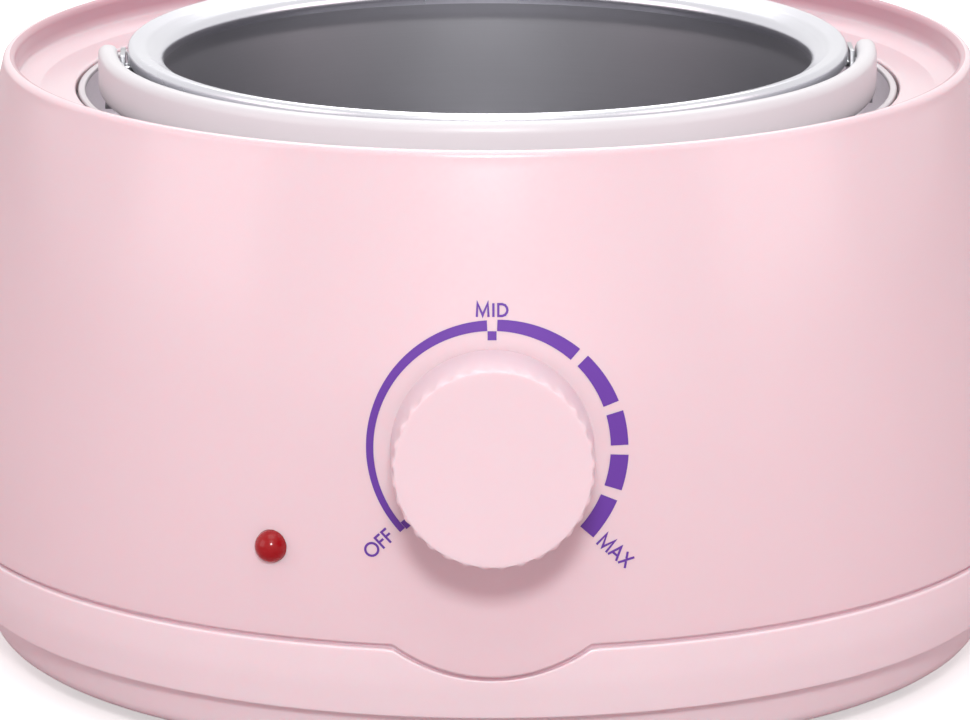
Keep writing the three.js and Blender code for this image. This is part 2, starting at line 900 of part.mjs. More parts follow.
// The bracket's plate backs the thermostat and its two legs end on the side of the well
function makeBracket() {
  const plateFront = thermostatBack - seatGap;
  const plateBack = plateFront - bracketThickness;
  const halfWidth = bracketWidth / 2;
  const halfHeight = bracketHeight / 2;
  const legEnd = plateBack - thermostatRadius;
  let body = block(v3(-halfWidth, -halfHeight, plateBack), v3(halfWidth, halfHeight, plateFront));
  for (const side of [-1, 1]) {
    const outer = side * halfWidth;
    const inner = side * (halfWidth - bracketThickness);
    const low = v3(Math.min(outer, inner), -halfHeight, legEnd);
    const high = v3(Math.max(outer, inner), halfHeight, plateFront);
    body = body.add(block(low, high));
  }
  const toControl = new THREE.Matrix4().fromArray(casingTransform(0, controlHeight)).invert();
  const well = post(wellLowerOuter + seatGap, 0, 0, 0, wellShoulderHeight, potSides);
  return piece("thermostat_bracket", body.subtract(well.transform([...toControl.elements])), zincSteel);
}

// Indicator lamp and its holder
function makeLamp() {
  const seat = -casingWall - seatGap;
  const dome = v2(0, lampStandoff - lampRadius);
  const outline = [
    v2(0, seat - lampFlangeThickness),
    v2(lampFlangeRadius, seat - lampFlangeThickness),
    v2(lampFlangeRadius, seat),
    v2(lampRadius, seat),
    ...arc(dome, lampRadius, 0, 90, 2 * arcSteps).slice(0, -1),
    v2(0, lampStandoff),
  ];
  return piece("indicator_lens", revolve(outline, smallSides), lampRed);
}

function makeLampHolder() {
  const face = -casingWall - seatGap;
  const back = face - lampHolderLength;
  const pocket = post(
    lampFlangeRadius + seatGap,
    0,
    0,
    face - lampFlangeThickness - seatGap,
    face + overrun,
    smallSides,
  );
  const leads = post(wireRadius + seatGap, 0, 0, back - overrun, face, smallSides);
  const body = post(lampHolderRadius, 0, 0, back, face, smallSides).subtract(pocket).subtract(leads);
  return piece("indicator_holder", body, blackPlastic);
}

// Cord gland: a flanged sleeve through the back of the casing, and the nut behind the wall
function makeGland() {
  const flange = post(glandFlangeRadius, 0, 0, seatGap, seatGap + glandFlangeThickness, smallSides);
  const sleeve = post(
    glandBodyRadius,
    0,
    0,
    seatGap + glandFlangeThickness - glandBodyLength - casingWall,
    glandFlangeThickness,
    smallSides,
  );
  const bore = post(
    glandBore,
    0,
    0,
    -glandBodyLength - casingWall - overrun,
    glandFlangeThickness + overrun,
    smallSides,
  );
  return piece("cord_gland", flange.add(sleeve).subtract(bore), blackPlastic);
}

function makeGlandNut() {
  const face = -casingWall - 2 * seatGap;
  const nut = hexagon(glandNutAcross, face - glandNutThickness, face);
  const thread = post(
    glandBodyRadius + seatGap,
    0,
    0,
    face - glandNutThickness - overrun,
    face + overrun,
    smallSides,
  );
  return piece("gland_nut", nut.subtract(thread), blackPlastic);
}

// Terminal block, fuse and fuse clip
const blockBottom = baseBottom + baseFloor + seatGap;

function makeTerminalBlock() {
  const low = v3(-blockLength / 2, blockPlace - blockDepth / 2, blockBottom);
  const high = v3(blockLength / 2, blockPlace + blockDepth / 2, blockBottom + blockHeight);
  let body = block(low, high);
  for (let i = 0; i < blockScrewWells; i++) {
    const x = low.x + (blockLength * (i + 0.5)) / blockScrewWells;
    body = body.subtract(post(
      blockWellRadius,
      x,
      blockPlace,
      high.z - blockWellDepth,
      high.z + overrun,
      screwSides,
    ));
  }
  return piece("terminal_block", body, blockWhite);
}

const fusePlace = wellLowerOuter + seatGap + fuseClipWall + seatGap + fuseRadius;

function makeFuse() {
  const body = post(
    fuseRadius,
    fusePlace,
    0,
    fuseHeight - fuseLength / 2,
    fuseHeight + fuseLength / 2,
    screwSides,
  );
  return piece("thermal_fuse", turned(body, fuseAzimuth), blockWhite);
}

function makeFuseClip() {
  const inner = fuseRadius + seatGap;
  const low = fuseHeight - fuseClipHeight / 2;
  const high = fuseHeight + fuseClipHeight / 2;
  const ring = post(inner + fuseClipWall, fusePlace, 0, low, high, screwSides);
  const bore = post(inner, fusePlace, 0, low - overrun, high + overrun, screwSides);
  return piece("fuse_clip", turned(ring.subtract(bore), fuseAzimuth), zincSteel);
}

// Wires run from one connection to the next round the outside of the well,
// and every span between two points is cut into the same number of steps
function wire(name, points, colour) {
  const route = new THREE.CatmullRomCurve3(points);
  route.getUtoTmapping = (share) => share;
  return piece(name, tube(route, wireRadius, wireSides, wireSpanSteps * (points.length - 1)), colour);
}

function makeWires() {
  const blockTop = blockBottom + blockHeight;
  const inBlock = blockTop - blockWellDepth + seatGap;
  const overBlock = blockTop + 3 * wireRadius;
  const blockStep = blockLength / blockScrewWells;
  const lane = wellLowerOuter + 5 * wireRadius;
  const laneTop = wellShoulderHeight - wellShoulderDrop - wireBelowShoulder;
  const half = elementGapAngle / 2;
  const bendAngle = elementBend / elementRingRadius / degree;
  const endLeft = onRing(elementRingRadius, 90 + half - bendAngle, elementEndHeight - seatGap);
  const endRight = onRing(elementRingRadius, 90 - half + bendAngle, elementEndHeight - seatGap);
  const low = (blockBottom + elementEndHeight) / 2;
  const fuseBottom = onRing(fusePlace, fuseAzimuth, fuseHeight - fuseLength / 2 - seatGap);
  const fuseTop = onRing(fusePlace, fuseAzimuth, fuseHeight + fuseLength / 2 + seatGap);
  const bodySide = thermostatRadius + seatGap;
  const bodyMiddle = thermostatFront - thermostatThickness / 2;
  const controlPlace = onCasingSide(0, controlHeight).place;
  const byControl = (x, y) => v3(x, y, bodyMiddle).applyMatrix4(controlPlace.matrixWorld);
  const lampRear = -casingWall - seatGap - lampHolderLength;
  const lampPlace = onCasingSide(lampAzimuth, lampHeight).place;
  const behindLamp = (z) => v3(0, 0, z).applyMatrix4(lampPlace.matrixWorld);
  return [
    wire(
      "wire_live",
      [
        v3(blockStep, blockPlace, inBlock),
        v3(blockStep, blockPlace, blockTop),
        v3(blockStep, blockPlace, overBlock),
        onRing(lane, 40, overBlock + blockHeight),
        onRing(lane, 0, controlHeight - thermostatRadius),
        onRing(lane, -45, controlHeight),
        byControl(bodySide + 4 * wireRadius, 0),
        byControl(bodySide, 0),
      ],
      wireBrown,
    ),
    wire(
      "wire_switched",
      [
        byControl(-bodySide, 0),
        byControl(-bodySide - 4 * wireRadius, 0),
        onRing(lane, 225, controlHeight),
        onRing(lane, 180, laneTop),
        onRing(lane, 135, laneTop),
        fuseTop.clone().setZ(fuseTop.z + 4 * wireRadius),
        fuseTop,
      ],
      wireBrown,
    ),
    wire(
      "wire_fused",
      [
        fuseBottom,
        fuseBottom.clone().setZ(fuseBottom.z - 4 * wireRadius),
        onRing((fusePlace + elementRingRadius) / 2, fuseAzimuth, low + 2 * wireRadius),
        endLeft.clone().setZ(low),
        endLeft,
      ],
      wireBrown,
    ),
    wire(
      "wire_neutral",
      [
        v3(0, blockPlace, inBlock),
        v3(0, blockPlace, blockTop),
        v3(0, blockPlace, overBlock),
        onRing((blockPlace + elementRingRadius) / 2, 90 - half / 2, blockTop),
        endRight.clone().setZ(low),
        endRight,
      ],
      wireBlue,
    ),
    wire(
      "wire_earth",
      [
        v3(-blockStep, blockPlace, inBlock),
        v3(-blockStep, blockPlace, blockTop),
        v3(-blockStep, blockPlace, overBlock),
        v3(-blockStep, blockPlace - blockDepth, blockTop),
        v3(0, elementRingRadius, low),
        v3(0, elementRingRadius / 2, blockBottom + 2 * wireRadius),
        v3(0, 0, low),
        v3(0, 0, studBottom - seatGap),
      ],
      wireGreen,
    ),
    wire(
      "wire_lamp",
      [
        behindLamp(lampRear + lampHolderLength / 3),
        behindLamp(lampRear - 3 * wireRadius),
        byControl(-bodySide, -bodySide - 4 * wireRadius),
        byControl(0, -bodySide - 4 * wireRadius),
        byControl(0, -bodySide),
      ],
      wireBrown,
    ),
  ];
}

// Pot: a spun cup with a flared, curled lip and a bead under it
const potFloorHeight = wellFloorHeight + seatGap + potFloor;
const potOuterRadius = potRadius + potWall;

function potOutline() {
  const neckTop = potMouthHeight - (potNeckRadius - potMouthRadius);
  const neckFoot = potMouthHeight - potNeckHeight;
  const beadFoot = neckFoot - potBeadHeight;
  const innerCorner = v2(potRadius - potCorner, potFloorHeight + potCorner);
  const outerCorner = v2(potOuterRadius - potCorner, potFloorHeight - potFloor + potCorner);
  const curlFoot = potCrownHeight - potLipCurl;
  return [
    v2(0, potFloorHeight),
    ...arc(innerCorner, potCorner, -90, 0),
    v2(potRadius, beadFoot),
    v2(potNeckRadius, neckFoot),
    v2(potNeckRadius, neckTop),
    v2(potMouthRadius, potMouthHeight),
    v2(potMouthRadius + potBeadHeight / 2, potMouthHeight + potBeadHeight),
    v2(potCrownRadius - 2 * potLipRound, potCrownHeight - potLipRound / 2),
    ...arc(v2(potCrownRadius, potCrownHeight - potLipRound), potLipRound, 90, 0),
    v2(potLipRadius, curlFoot + potLipRound / 2),
    v2(potLipRadius - potLipRound / 2, curlFoot),
    v2(potOuterRadius + potLipRound, curlFoot),
    v2(potOuterRadius, curlFoot - potLipRound),
    ...arc(outerCorner, potCorner, 0, -90),
    v2(0, potFloorHeight - potFloor),
  ];
}

function makePot() {
  return piece("inner_pot", revolve(potOutline(), potSides), brightAluminium);
}

// One ear: a foot on the pot's wall, a step out, an upright tab with the pivot hole,
// and a shelf below the bail that stops it level at the front and at the back
const earFace = potLipRadius + seatGap;

function makeEar(name, side) {
  const footFace = potOuterRadius + seatGap;
  const stepTop = bailPivotHeight - earStepDrop;
  const stepFoot = stepTop - earSheet;
  const outline = new THREE.Shape([
    v2(footFace, stepFoot - earFootDrop),
    v2(footFace + earSheet, stepFoot - earFootDrop),
    v2(footFace + earSheet, stepFoot),
    v2(earFace + earSheet, stepFoot),
    v2(earFace + earSheet, bailPivotHeight + earTopRise),
    v2(earFace, bailPivotHeight + earTopRise),
    v2(earFace, stepTop),
    v2(footFace, stepTop),
  ]);
  const strip = new THREE.ExtrudeGeometry(outline, { depth: earWidth, bevelEnabled: false });
  strip.translate(0, 0, -earWidth / 2);
  strip.rotateX(Math.PI / 2);
  const droopAtEnd = (earShelfLength / 2) * Math.tan(bailDroop * degree);
  const shelfTop = bailPivotHeight - bailHeight / 2 - droopAtEnd - seatGap;
  const shelf = block(
    v3(earFace, -earShelfLength / 2, shelfTop - earSheet),
    v3(earFace + earShelfReach, earShelfLength / 2, shelfTop),
  );
  const hole = rod(
    earHoleRadius,
    v3(earFace - overrun, 0, bailPivotHeight),
    v3(earFace + overrun, 0, bailPivotHeight),
    screwSides,
  );
  const body = solid(strip).add(shelf).subtract(hole);
  return piece(name, side > 0 ? body : turned(body, 180), wireSteel);
}

// Bail: a half ring of an upright strap with rounded edges, its ends round about the pivot
function bailSection() {
  const top = bailHeight / 2 - bailEdgeRound;
  const inner = bailInnerRadius + bailEdgeRound;
  const outer = bailInnerRadius + bailThickness - bailEdgeRound;
  return [
    ...arc(v2(outer, -top), bailEdgeRound, -90, 0, 3),
    ...arc(v2(outer, top), bailEdgeRound, 0, 90, 3),
    ...arc(v2(inner, top), bailEdgeRound, 90, 180, 3),
    ...arc(v2(inner, -top), bailEdgeRound, 180, 270, 3),
  ];
}

function makeBail() {
  const section = bailSection();
  const extra = Math.asin(bailHeight / 2 / bailInnerRadius);
  const sweep = Math.PI + 2 * extra;
  const ring = new THREE.LatheGeometry([...section, section[0].clone()], bailArcSteps, 0, sweep);
  ring.rotateX(Math.PI / 2);
  const positions = [...ring.toNonIndexed().attributes.position.array];
  for (const end of [0, sweep]) {
    const corners = section.map((p) => v3(p.x * Math.sin(end), -p.x * Math.cos(end), p.y));
    for (let i = 1; i + 1 < corners.length; i++) {
      const fan = [corners[0], corners[i], corners[i + 1]];
      if (end > 0) fan.reverse();
      fan.forEach((corner) => positions.push(...corner.toArray()));
    }
  }
  const closed = new THREE.BufferGeometry();
  closed.setAttribute("position", new THREE.Float32BufferAttribute(positions, 3));
  let body = solid(closed);
  body = turned(body, -90 - extra / degree);
  const reach = bailInnerRadius + bailThickness + overrun;
  const endBlank = block(v3(-reach, 0, -bailHeight), v3(reach, bailHeight, bailHeight));
  const endRound = rod(bailHeight / 2, v3(-reach, 0, 0), v3(reach, 0, 0), smallSides);
  body = body.subtract(endBlank.subtract(endRound));
  const sink = bailInnerRadius + hookSink;
  body = body.subtract(rod(hookRadius + seatGap, v3(-sink, 0, 0), v3(sink, 0, 0), screwSides));
  return piece("bail_handle", body, whitePlastic);
}

// One wire hook: it passes from the strap through the ear's hole and is headed behind it
function makeHook(name, side) {
  const outer = side * (bailInnerRadius + hookSink - seatGap);
  const inner = side * (earFace - hookReach);
  const wireBody = rod(hookRadius, v3(inner, 0, 0), v3(outer, 0, 0), screwSides);
  const head = rod(
    hookHeadRadius,
    v3(inner, 0, 0),
    v3(inner + side * hookHeadLength, 0, 0),
    screwSides,
  );
  return piece(name, wireBody.add(head), wireSteel);
}

function makeHandle() {
  const swing = new THREE.Group();
  swing.position.z = bailPivotHeight;
  swing.rotation.x = bailDroop * degree;
  swing.add(makeBail(), makeHook("bail_hook_right", 1), makeHook("bail_hook_left", -1));
  return swing;
}

const casing = new THREE.Group();
casing.add(makeCasing(), makeBase(), ...makeFeet(), ...makeBaseScrews());
casing.add(makeWell(), ...makeWellClips(), ...makeClipScrews());
casing.add(makeElement(), makeClampPlate(), makeClampNut());
casing.add(makeTerminalBlock(), makeFuse(), makeFuseClip(), ...makeWires());

const control = onCasingSide(0, controlHeight);
control.place.add(makeKnob(), makeKnobClip(), makeShaft(), makeThermostat(), makeBracket());
const lamp = onCasingSide(lampAzimuth, lampHeight);
lamp.place.add(makeLamp(), makeLampHolder());
const gland = onCasingSide(180, glandHeight);
gland.place.add(makeGland(), makeGlandNut());
casing.add(control.spin, lamp.spin, gland.spin);

const pot = new THREE.Group();
pot.rotation.z = potTurn * degree;
pot.add(makePot(), makeEar("pot_ear_right", 1), makeEar("pot_ear_left", -1), makeHandle());

const waxHeater = new THREE.Group();
waxHeater.add(casing, pot);

// The origin is the middle of the underside of the whole object's box
const box = new THREE.Box3().setFromObject(waxHeater, true);
waxHeater.position.set(-(box.min.x + box.max.x) / 2, -(box.min.y + box.max.y) / 2, 0);

export default waxHeater;
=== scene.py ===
# %% [markdown]
# # A round wax heater
#
# The real object is a tabletop heater: a pink plastic casing on a base, a metal well that a loose
# aluminium pot hangs in, a white bail handle that swings on the pot, and a knob with a printed
# scale and a small red lamp on the front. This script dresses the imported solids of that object.
#
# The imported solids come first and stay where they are. They know every size and every joint, so
# each finer piece below is built in the same place, in metres, with +Z up and the front at -Y.

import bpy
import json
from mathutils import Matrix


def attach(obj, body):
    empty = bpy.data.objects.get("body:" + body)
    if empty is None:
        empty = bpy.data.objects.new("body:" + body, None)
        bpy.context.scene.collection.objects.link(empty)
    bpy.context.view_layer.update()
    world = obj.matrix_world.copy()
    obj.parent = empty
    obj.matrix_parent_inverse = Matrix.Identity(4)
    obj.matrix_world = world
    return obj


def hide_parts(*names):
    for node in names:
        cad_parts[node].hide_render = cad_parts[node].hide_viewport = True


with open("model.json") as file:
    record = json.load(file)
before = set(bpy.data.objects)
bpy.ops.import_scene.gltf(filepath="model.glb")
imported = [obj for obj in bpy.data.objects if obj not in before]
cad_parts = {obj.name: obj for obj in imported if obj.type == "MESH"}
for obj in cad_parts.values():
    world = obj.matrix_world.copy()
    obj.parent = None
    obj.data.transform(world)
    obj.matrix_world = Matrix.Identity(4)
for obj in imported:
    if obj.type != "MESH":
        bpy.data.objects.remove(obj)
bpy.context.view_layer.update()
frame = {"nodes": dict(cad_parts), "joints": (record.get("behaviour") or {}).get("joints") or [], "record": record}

# %% [markdown]
# ## Sizes that the pieces share
#
# The drawing is in millimetres, so the sizes are written that way here too and turned into metres
# in one place, where a mesh is made. The casing's side is a parabola: it leans in slowly above the
# parting groove and faster near the rim. Everything that sits on the side asks this curve where
# the wall is and how far it leans, so nothing has to be placed by eye.

# %% Sizes
import json
import math

import bmesh
import bpy
from mathutils import Matrix, Vector

MM = 0.001
joints = {joint["name"]: joint for joint in frame["joints"]}
axis_y = joints["handle_swing"]["pos_m"][1] / MM
pot_turn = math.atan2(-joints["handle_swing"]["axis"][1], -joints["handle_swing"]["axis"][0])

rim_radius, rim_height, rim_round = 78.0, 97.5, 1.1
seam_radius, seam_height, half_seam = 87.5, 22.2, 0.35
casing_wall = 2.4
deck_height, deck_thickness = 92.0, 2.2
dip_half_width, dip_depth = 15.2, 4.9
dial_height, lamp_height, lamp_azimuth, gland_height = 53.2, 36.6, -22.7, 37.0


def wall_radius(z):
    share = (z - seam_height) / (rim_height - seam_height)
    return seam_radius - (seam_radius - rim_radius) * share * share


def wall_lean(z):
    rise = rim_height - seam_height
    return math.atan(2 * (seam_radius - rim_radius) * (z - seam_height) / rise**2)


def linked(name, data):
    made = bpy.data.objects.new(name, data)
    bpy.context.scene.collection.objects.link(made)
    return made


print(f"casing axis at y = {axis_y:.3f} mm, pot turned {math.degrees(pot_turn):.2f} degrees")

# %% [markdown]
# ## The camera
#
# A picture is matched best when the camera comes first, because every later render can then be
# laid over the photograph. The angle, the distance and the long lens were fitted to the ellipses of
# the rim, the lip and the parting groove. The lens is long, so the object looks almost flat, and
# the small shift only puts the middle of the view where the photograph has it.

# %% Camera
photo_width, photo_height = 970, 720
middle_x, middle_y = 487.5, 352.35
focal_pixels, sensor_width = 6675, 36
camera_distance, camera_pitch, camera_turn = 1.092, 14.067, -0.47
aim = Vector((0, axis_y, 46.8)) * MM


def stand(name, data, middle, azimuth, rise, distance):
    """Stands a camera or a lamp off the middle, in metres. It looks back from an azimuth right of
    the front and a rise, both in degrees."""
    made = linked(name, data)
    turn, tilt = math.radians(azimuth), math.radians(rise)
    toward = Vector((math.sin(turn) * math.cos(tilt), -math.cos(turn) * math.cos(tilt), math.sin(tilt)))
    made.location = middle + toward * distance
    made.rotation_euler = toward.to_track_quat("Z", "Y").to_euler()
    return made


camera = stand("camera", bpy.data.cameras.new("camera"), aim, camera_turn, camera_pitch, camera_distance)
camera.data.sensor_width = sensor_width
camera.data.lens = focal_pixels * sensor_width / photo_width
camera.data.shift_x = (photo_width / 2 - middle_x) / photo_width
camera.data.shift_y = (middle_y - photo_height / 2) / photo_width
camera.data.clip_start, camera.data.clip_end = 0.05, 20
bpy.context.scene.camera = camera
print("camera at", [round(v, 3) for v in camera.location], "lens", round(camera.data.lens, 1), "mm")

# %% [markdown]
# ## Two effects that many finishes share
#
# No moulded or spun surface is perfectly even. A shader node group keeps such an effect in one
# place: it has named inputs, and each material gives it its own values. The first group is for
# mouldings. It gives a slow change of tone, a finer change of gloss and the faint waviness that
# plastic keeps from its mould. Inside a given radius it also paints shade into the colour, fading
# in between two heights and full above them: it darkens and deepens the colour as shade and light
# bouncing about in a recess or a groove would. The second group is for spun metal, where a tool
# has left fine rings round the axis, and it can give the inside of a pot a gloss of its own and a
# tone of painted light and shade: the pot's inside is darkened as painted shade and the well's
# inside is lightened as painted light. Both read Object coordinates, so a pattern stays on its
# piece in any view.
#
# A few helpers come first. They add a node with its links in one line, and the trees that make
# shapes further on use them too.

# %% Helpers for node trees
KINDS = {tuple: "NodeSocketColor", float: "NodeSocketFloat", int: "NodeSocketInt"}
SIGNS = {"+": "ADD", "-": "SUBTRACT", "*": "MULTIPLY", "/": "DIVIDE"}


def new_tree(name, kind, inputs, outputs):
    """Makes a tree with named sockets. An input is given by its first value or by its kind."""
    tree = bpy.data.node_groups.new(name, kind)
    for label, value in inputs.items():
        by_kind = isinstance(value, str)
        socket_kind = value if by_kind else KINDS[type(value)]
        socket = tree.interface.new_socket(label, in_out="INPUT", socket_type=socket_kind)
        if not by_kind:
            socket.default_value = value
    for label, socket_kind in outputs.items():
        tree.interface.new_socket(label, in_out="OUTPUT", socket_type=socket_kind)
    return tree, tree.nodes.new("NodeGroupInput").outputs


def node(tree, kind, links=None, **settings):
    """Adds a node and returns its outputs. A link is a value or another node's output."""
    made = tree.nodes.new(kind)
    for key, value in settings.items():
        setattr(made, key, value)
    for key, value in (links or {}).items():
        socket = made.inputs[key]
        if isinstance(value, bpy.types.NodeSocket):
            tree.links.new(value, socket)
        else:
            socket.default_value = value
    return made.outputs


def calculator(tree):
    """Returns a short way to add a Math node to the tree and take its result."""

    def calc(sum_sign, *values):
        operation = SIGNS.get(sum_sign, sum_sign)
        return node(tree, "ShaderNodeMath", dict(enumerate(values)), operation=operation)[0]

    return calc


def ranged(tree, value, from_low=0.0, from_high=1.0, to_low=0.0, to_high=1.0):
    ends = {"From Min": from_low, "From Max": from_high, "To Min": to_low, "To Max": to_high}
    return node(tree, "ShaderNodeMapRange", {"Value": value, **ends})[0]


def noise(tree, place, scale, detail, roughness=0.5):
    links = {"Vector": place, "Scale": scale, "Detail": detail, "Roughness": roughness}
    return node(tree, "ShaderNodeTexNoise", links)["Fac"]


def about_axis(tree):
    """The place on the piece, how far it is from the casing's axis, and how high it is."""
    place = node(tree, "ShaderNodeTexCoord")["Object"]
    centred = node(tree, "ShaderNodeMapping", {"Vector": place, "Location": (0, -axis_y * MM, 0)})
    parts = parts_of(tree, centred[0])
    across = node(tree, "ShaderNodeCombineXYZ", {"X": parts["X"], "Y": parts["Y"]})
    radius = node(tree, "ShaderNodeVectorMath", {0: across[0]}, operation="LENGTH")
    return place, radius["Value"], parts["Z"]


def parts_of(tree, vector):
    return node(tree, "ShaderNodeSeparateXYZ", {"Vector": vector})


def times(tree, colour, factor):
    return node(tree, "ShaderNodeVectorMath", {0: colour, 1: factor}, operation="MULTIPLY")[0]


print("kinds of socket:", ", ".join(KINDS.values()))

# %% Shader groups
surface_outputs = {"Colour": KINDS[tuple], "Roughness": KINDS[float], "Height": KINDS[float]}
white = (1.0, 1.0, 1.0, 1.0)

moulding, given = new_tree(
    "moulded_surface",
    "ShaderNodeTree",
    {
        "Colour": white, "Tone": 0.03, "Gloss": 0.25, "Gloss Change": 0.04,
        "Painted Shade Radius": 0.0, "Painted Shade Low": 0.0, "Painted Shade High": 1.0, "Painted Shade Gain": 0.0,
    },
    surface_outputs,
)
calc = calculator(moulding)
place, radius, height = about_axis(moulding)
slow = noise(moulding, place, 22.0, 2.0)
fine = noise(moulding, place, 900.0, 3.0)
wave = noise(moulding, place, 260.0, 1.0)
low_tone, high_tone = calc("-", 1.0, given["Tone"]), calc("+", 1.0, given["Tone"])
tone = ranged(moulding, slow, 0.3, 0.7, low_tone, high_tone)
# Painted shade: inside a radius and above a height the colour is raised to a higher gamma, which darkens and
# deepens it like shade in a recess or a groove.
rise = ranged(moulding, height, given["Painted Shade Low"], given["Painted Shade High"])
depth = calc("*", rise, calc("LESS_THAN", radius, given["Painted Shade Radius"]))
depth = calc("MULTIPLY_ADD", depth, given["Painted Shade Gain"], 1.0)
with_painted_shade = node(moulding, "ShaderNodeGamma", {"Color": given["Colour"], "Gamma": depth})
toned = times(moulding, with_painted_shade[0], tone)
gloss = calc("MULTIPLY_ADD", calc("-", fine, 0.5), given["Gloss Change"], given["Gloss"])
node(moulding, "NodeGroupOutput", {"Colour": toned, "Roughness": gloss, "Height": wave})

spinning, given = new_tree(
    "spun_rings",
    "ShaderNodeTree",
    {
        "Colour": white, "Gloss": 0.3, "Ring Depth": 0.1, "Ring Scale": 3000.0,
        "Inner Radius": 0.0, "Inner Top": 0.0, "Inner Tone": 1.0, "Inner Gloss": 0.0,
    },
    surface_outputs,
)
calc = calculator(spinning)
place, radius, height = about_axis(spinning)
ring_place = node(spinning, "ShaderNodeCombineXYZ", {"X": radius, "Y": height})
rings = noise(spinning, ring_place[0], given["Ring Scale"], 3.0, 0.7)
cloud = noise(spinning, place, 30.0, 3.0)
# Painted light and shade: inside a radius and below a height the colour is scaled by a tone, darker inside the pot
# as painted shade and lighter inside the well as painted light.
below = calc("LESS_THAN", height, given["Inner Top"])
inner = calc("*", calc("LESS_THAN", radius, given["Inner Radius"]), below)
tone = calc("MULTIPLY_ADD", calc("-", rings, 0.5), given["Ring Depth"], 1.0)
tone = calc("*", tone, ranged(spinning, inner, to_low=1.0, to_high=given["Inner Tone"]))
gloss = calc("+", calc("MULTIPLY_ADD", cloud, 0.12, -0.06), given["Gloss"])
gloss = calc("MULTIPLY_ADD", inner, given["Inner Gloss"], gloss)
ringed = times(spinning, given["Colour"], tone)
node(spinning, "NodeGroupOutput", {"Colour": ringed, "Roughness": gloss, "Height": rings})
print("shader groups:", moulding.name, "and", spinning.name)

# %% [markdown]
# ## The finishes
#
# Each finish is a Principled surface that one of the two groups feeds. What is the same all over,
# such as the metal or the clear coat, is set on the surface itself. Most finishes are mouldings or
# plated metal that differ only in a few numbers, so they are rows of one table. Colours are written
# as they look on a screen and turned into light values once, because Blender mixes light and not
# paint.

# %% Finishes
bump_size = 0.02 * MM


def seen(colour):
    """Light values of a colour that is written as it looks on a screen, from 0 to 255."""
    return (*(((v / 255 + 0.055) / 1.055) ** 2.4 if v > 10 else v / 255 / 12.92 for v in colour), 1.0)


def new_material(name):
    material = bpy.data.materials.new(name)
    material.use_nodes = True
    return material, material.node_tree, material.node_tree.nodes["Principled BSDF"].inputs


def finish_of(name, group, colour, bump, values, settings):
    material, tree, surface = new_material(name)
    effect = node(tree, "ShaderNodeGroup", {"Colour": seen(colour), **values}, node_tree=group)
    tree.links.new(effect["Colour"], surface["Base Color"])
    tree.links.new(effect["Roughness"], surface["Roughness"])
    if bump:
        raised = {"Strength": bump, "Distance": bump_size, "Height": effect["Height"]}
        tree.links.new(node(tree, "ShaderNodeBump", raised)["Normal"], surface["Normal"])
    for key, value in settings.items():
        surface[key].default_value = value
    return material


def painted_shade(radius, low, high, gain):
    return {"Painted Shade Radius": radius * MM, "Painted Shade Low": low * MM, "Painted Shade High": high * MM, "Painted Shade Gain": gain}


# The tone here is painted light and shade: below 1 it darkens the inside, above 1 it lightens it.
def inside(radius, top, tone, gloss=0.0):
    return {"Inner Radius": radius * MM, "Inner Top": top * MM, "Inner Tone": tone, "Inner Gloss": gloss}


metal = {"Metallic": 1.0}
soft_pink = {"Subsurface Weight": 0.4, "Subsurface Scale": 0.0012, "Subsurface Radius": (1.0, 0.25, 0.28)}
soft_coat = {"Coat Weight": 0.15, "Coat Roughness": 0.2}
glossy_pink = {"Coat Weight": 0.5, "Coat Roughness": 0.18, **soft_pink}
# The lens is not lit; its faint red emission is a painted glow.
red_lens_painted_glow = {
    "Specular IOR Level": 0.06,
    "Coat Weight": 0.6,
    "Coat Roughness": 0.2,
    "Emission Color": (1.0, 0.0, 0.01, 1.0),
    "Emission Strength": 0.08,
}
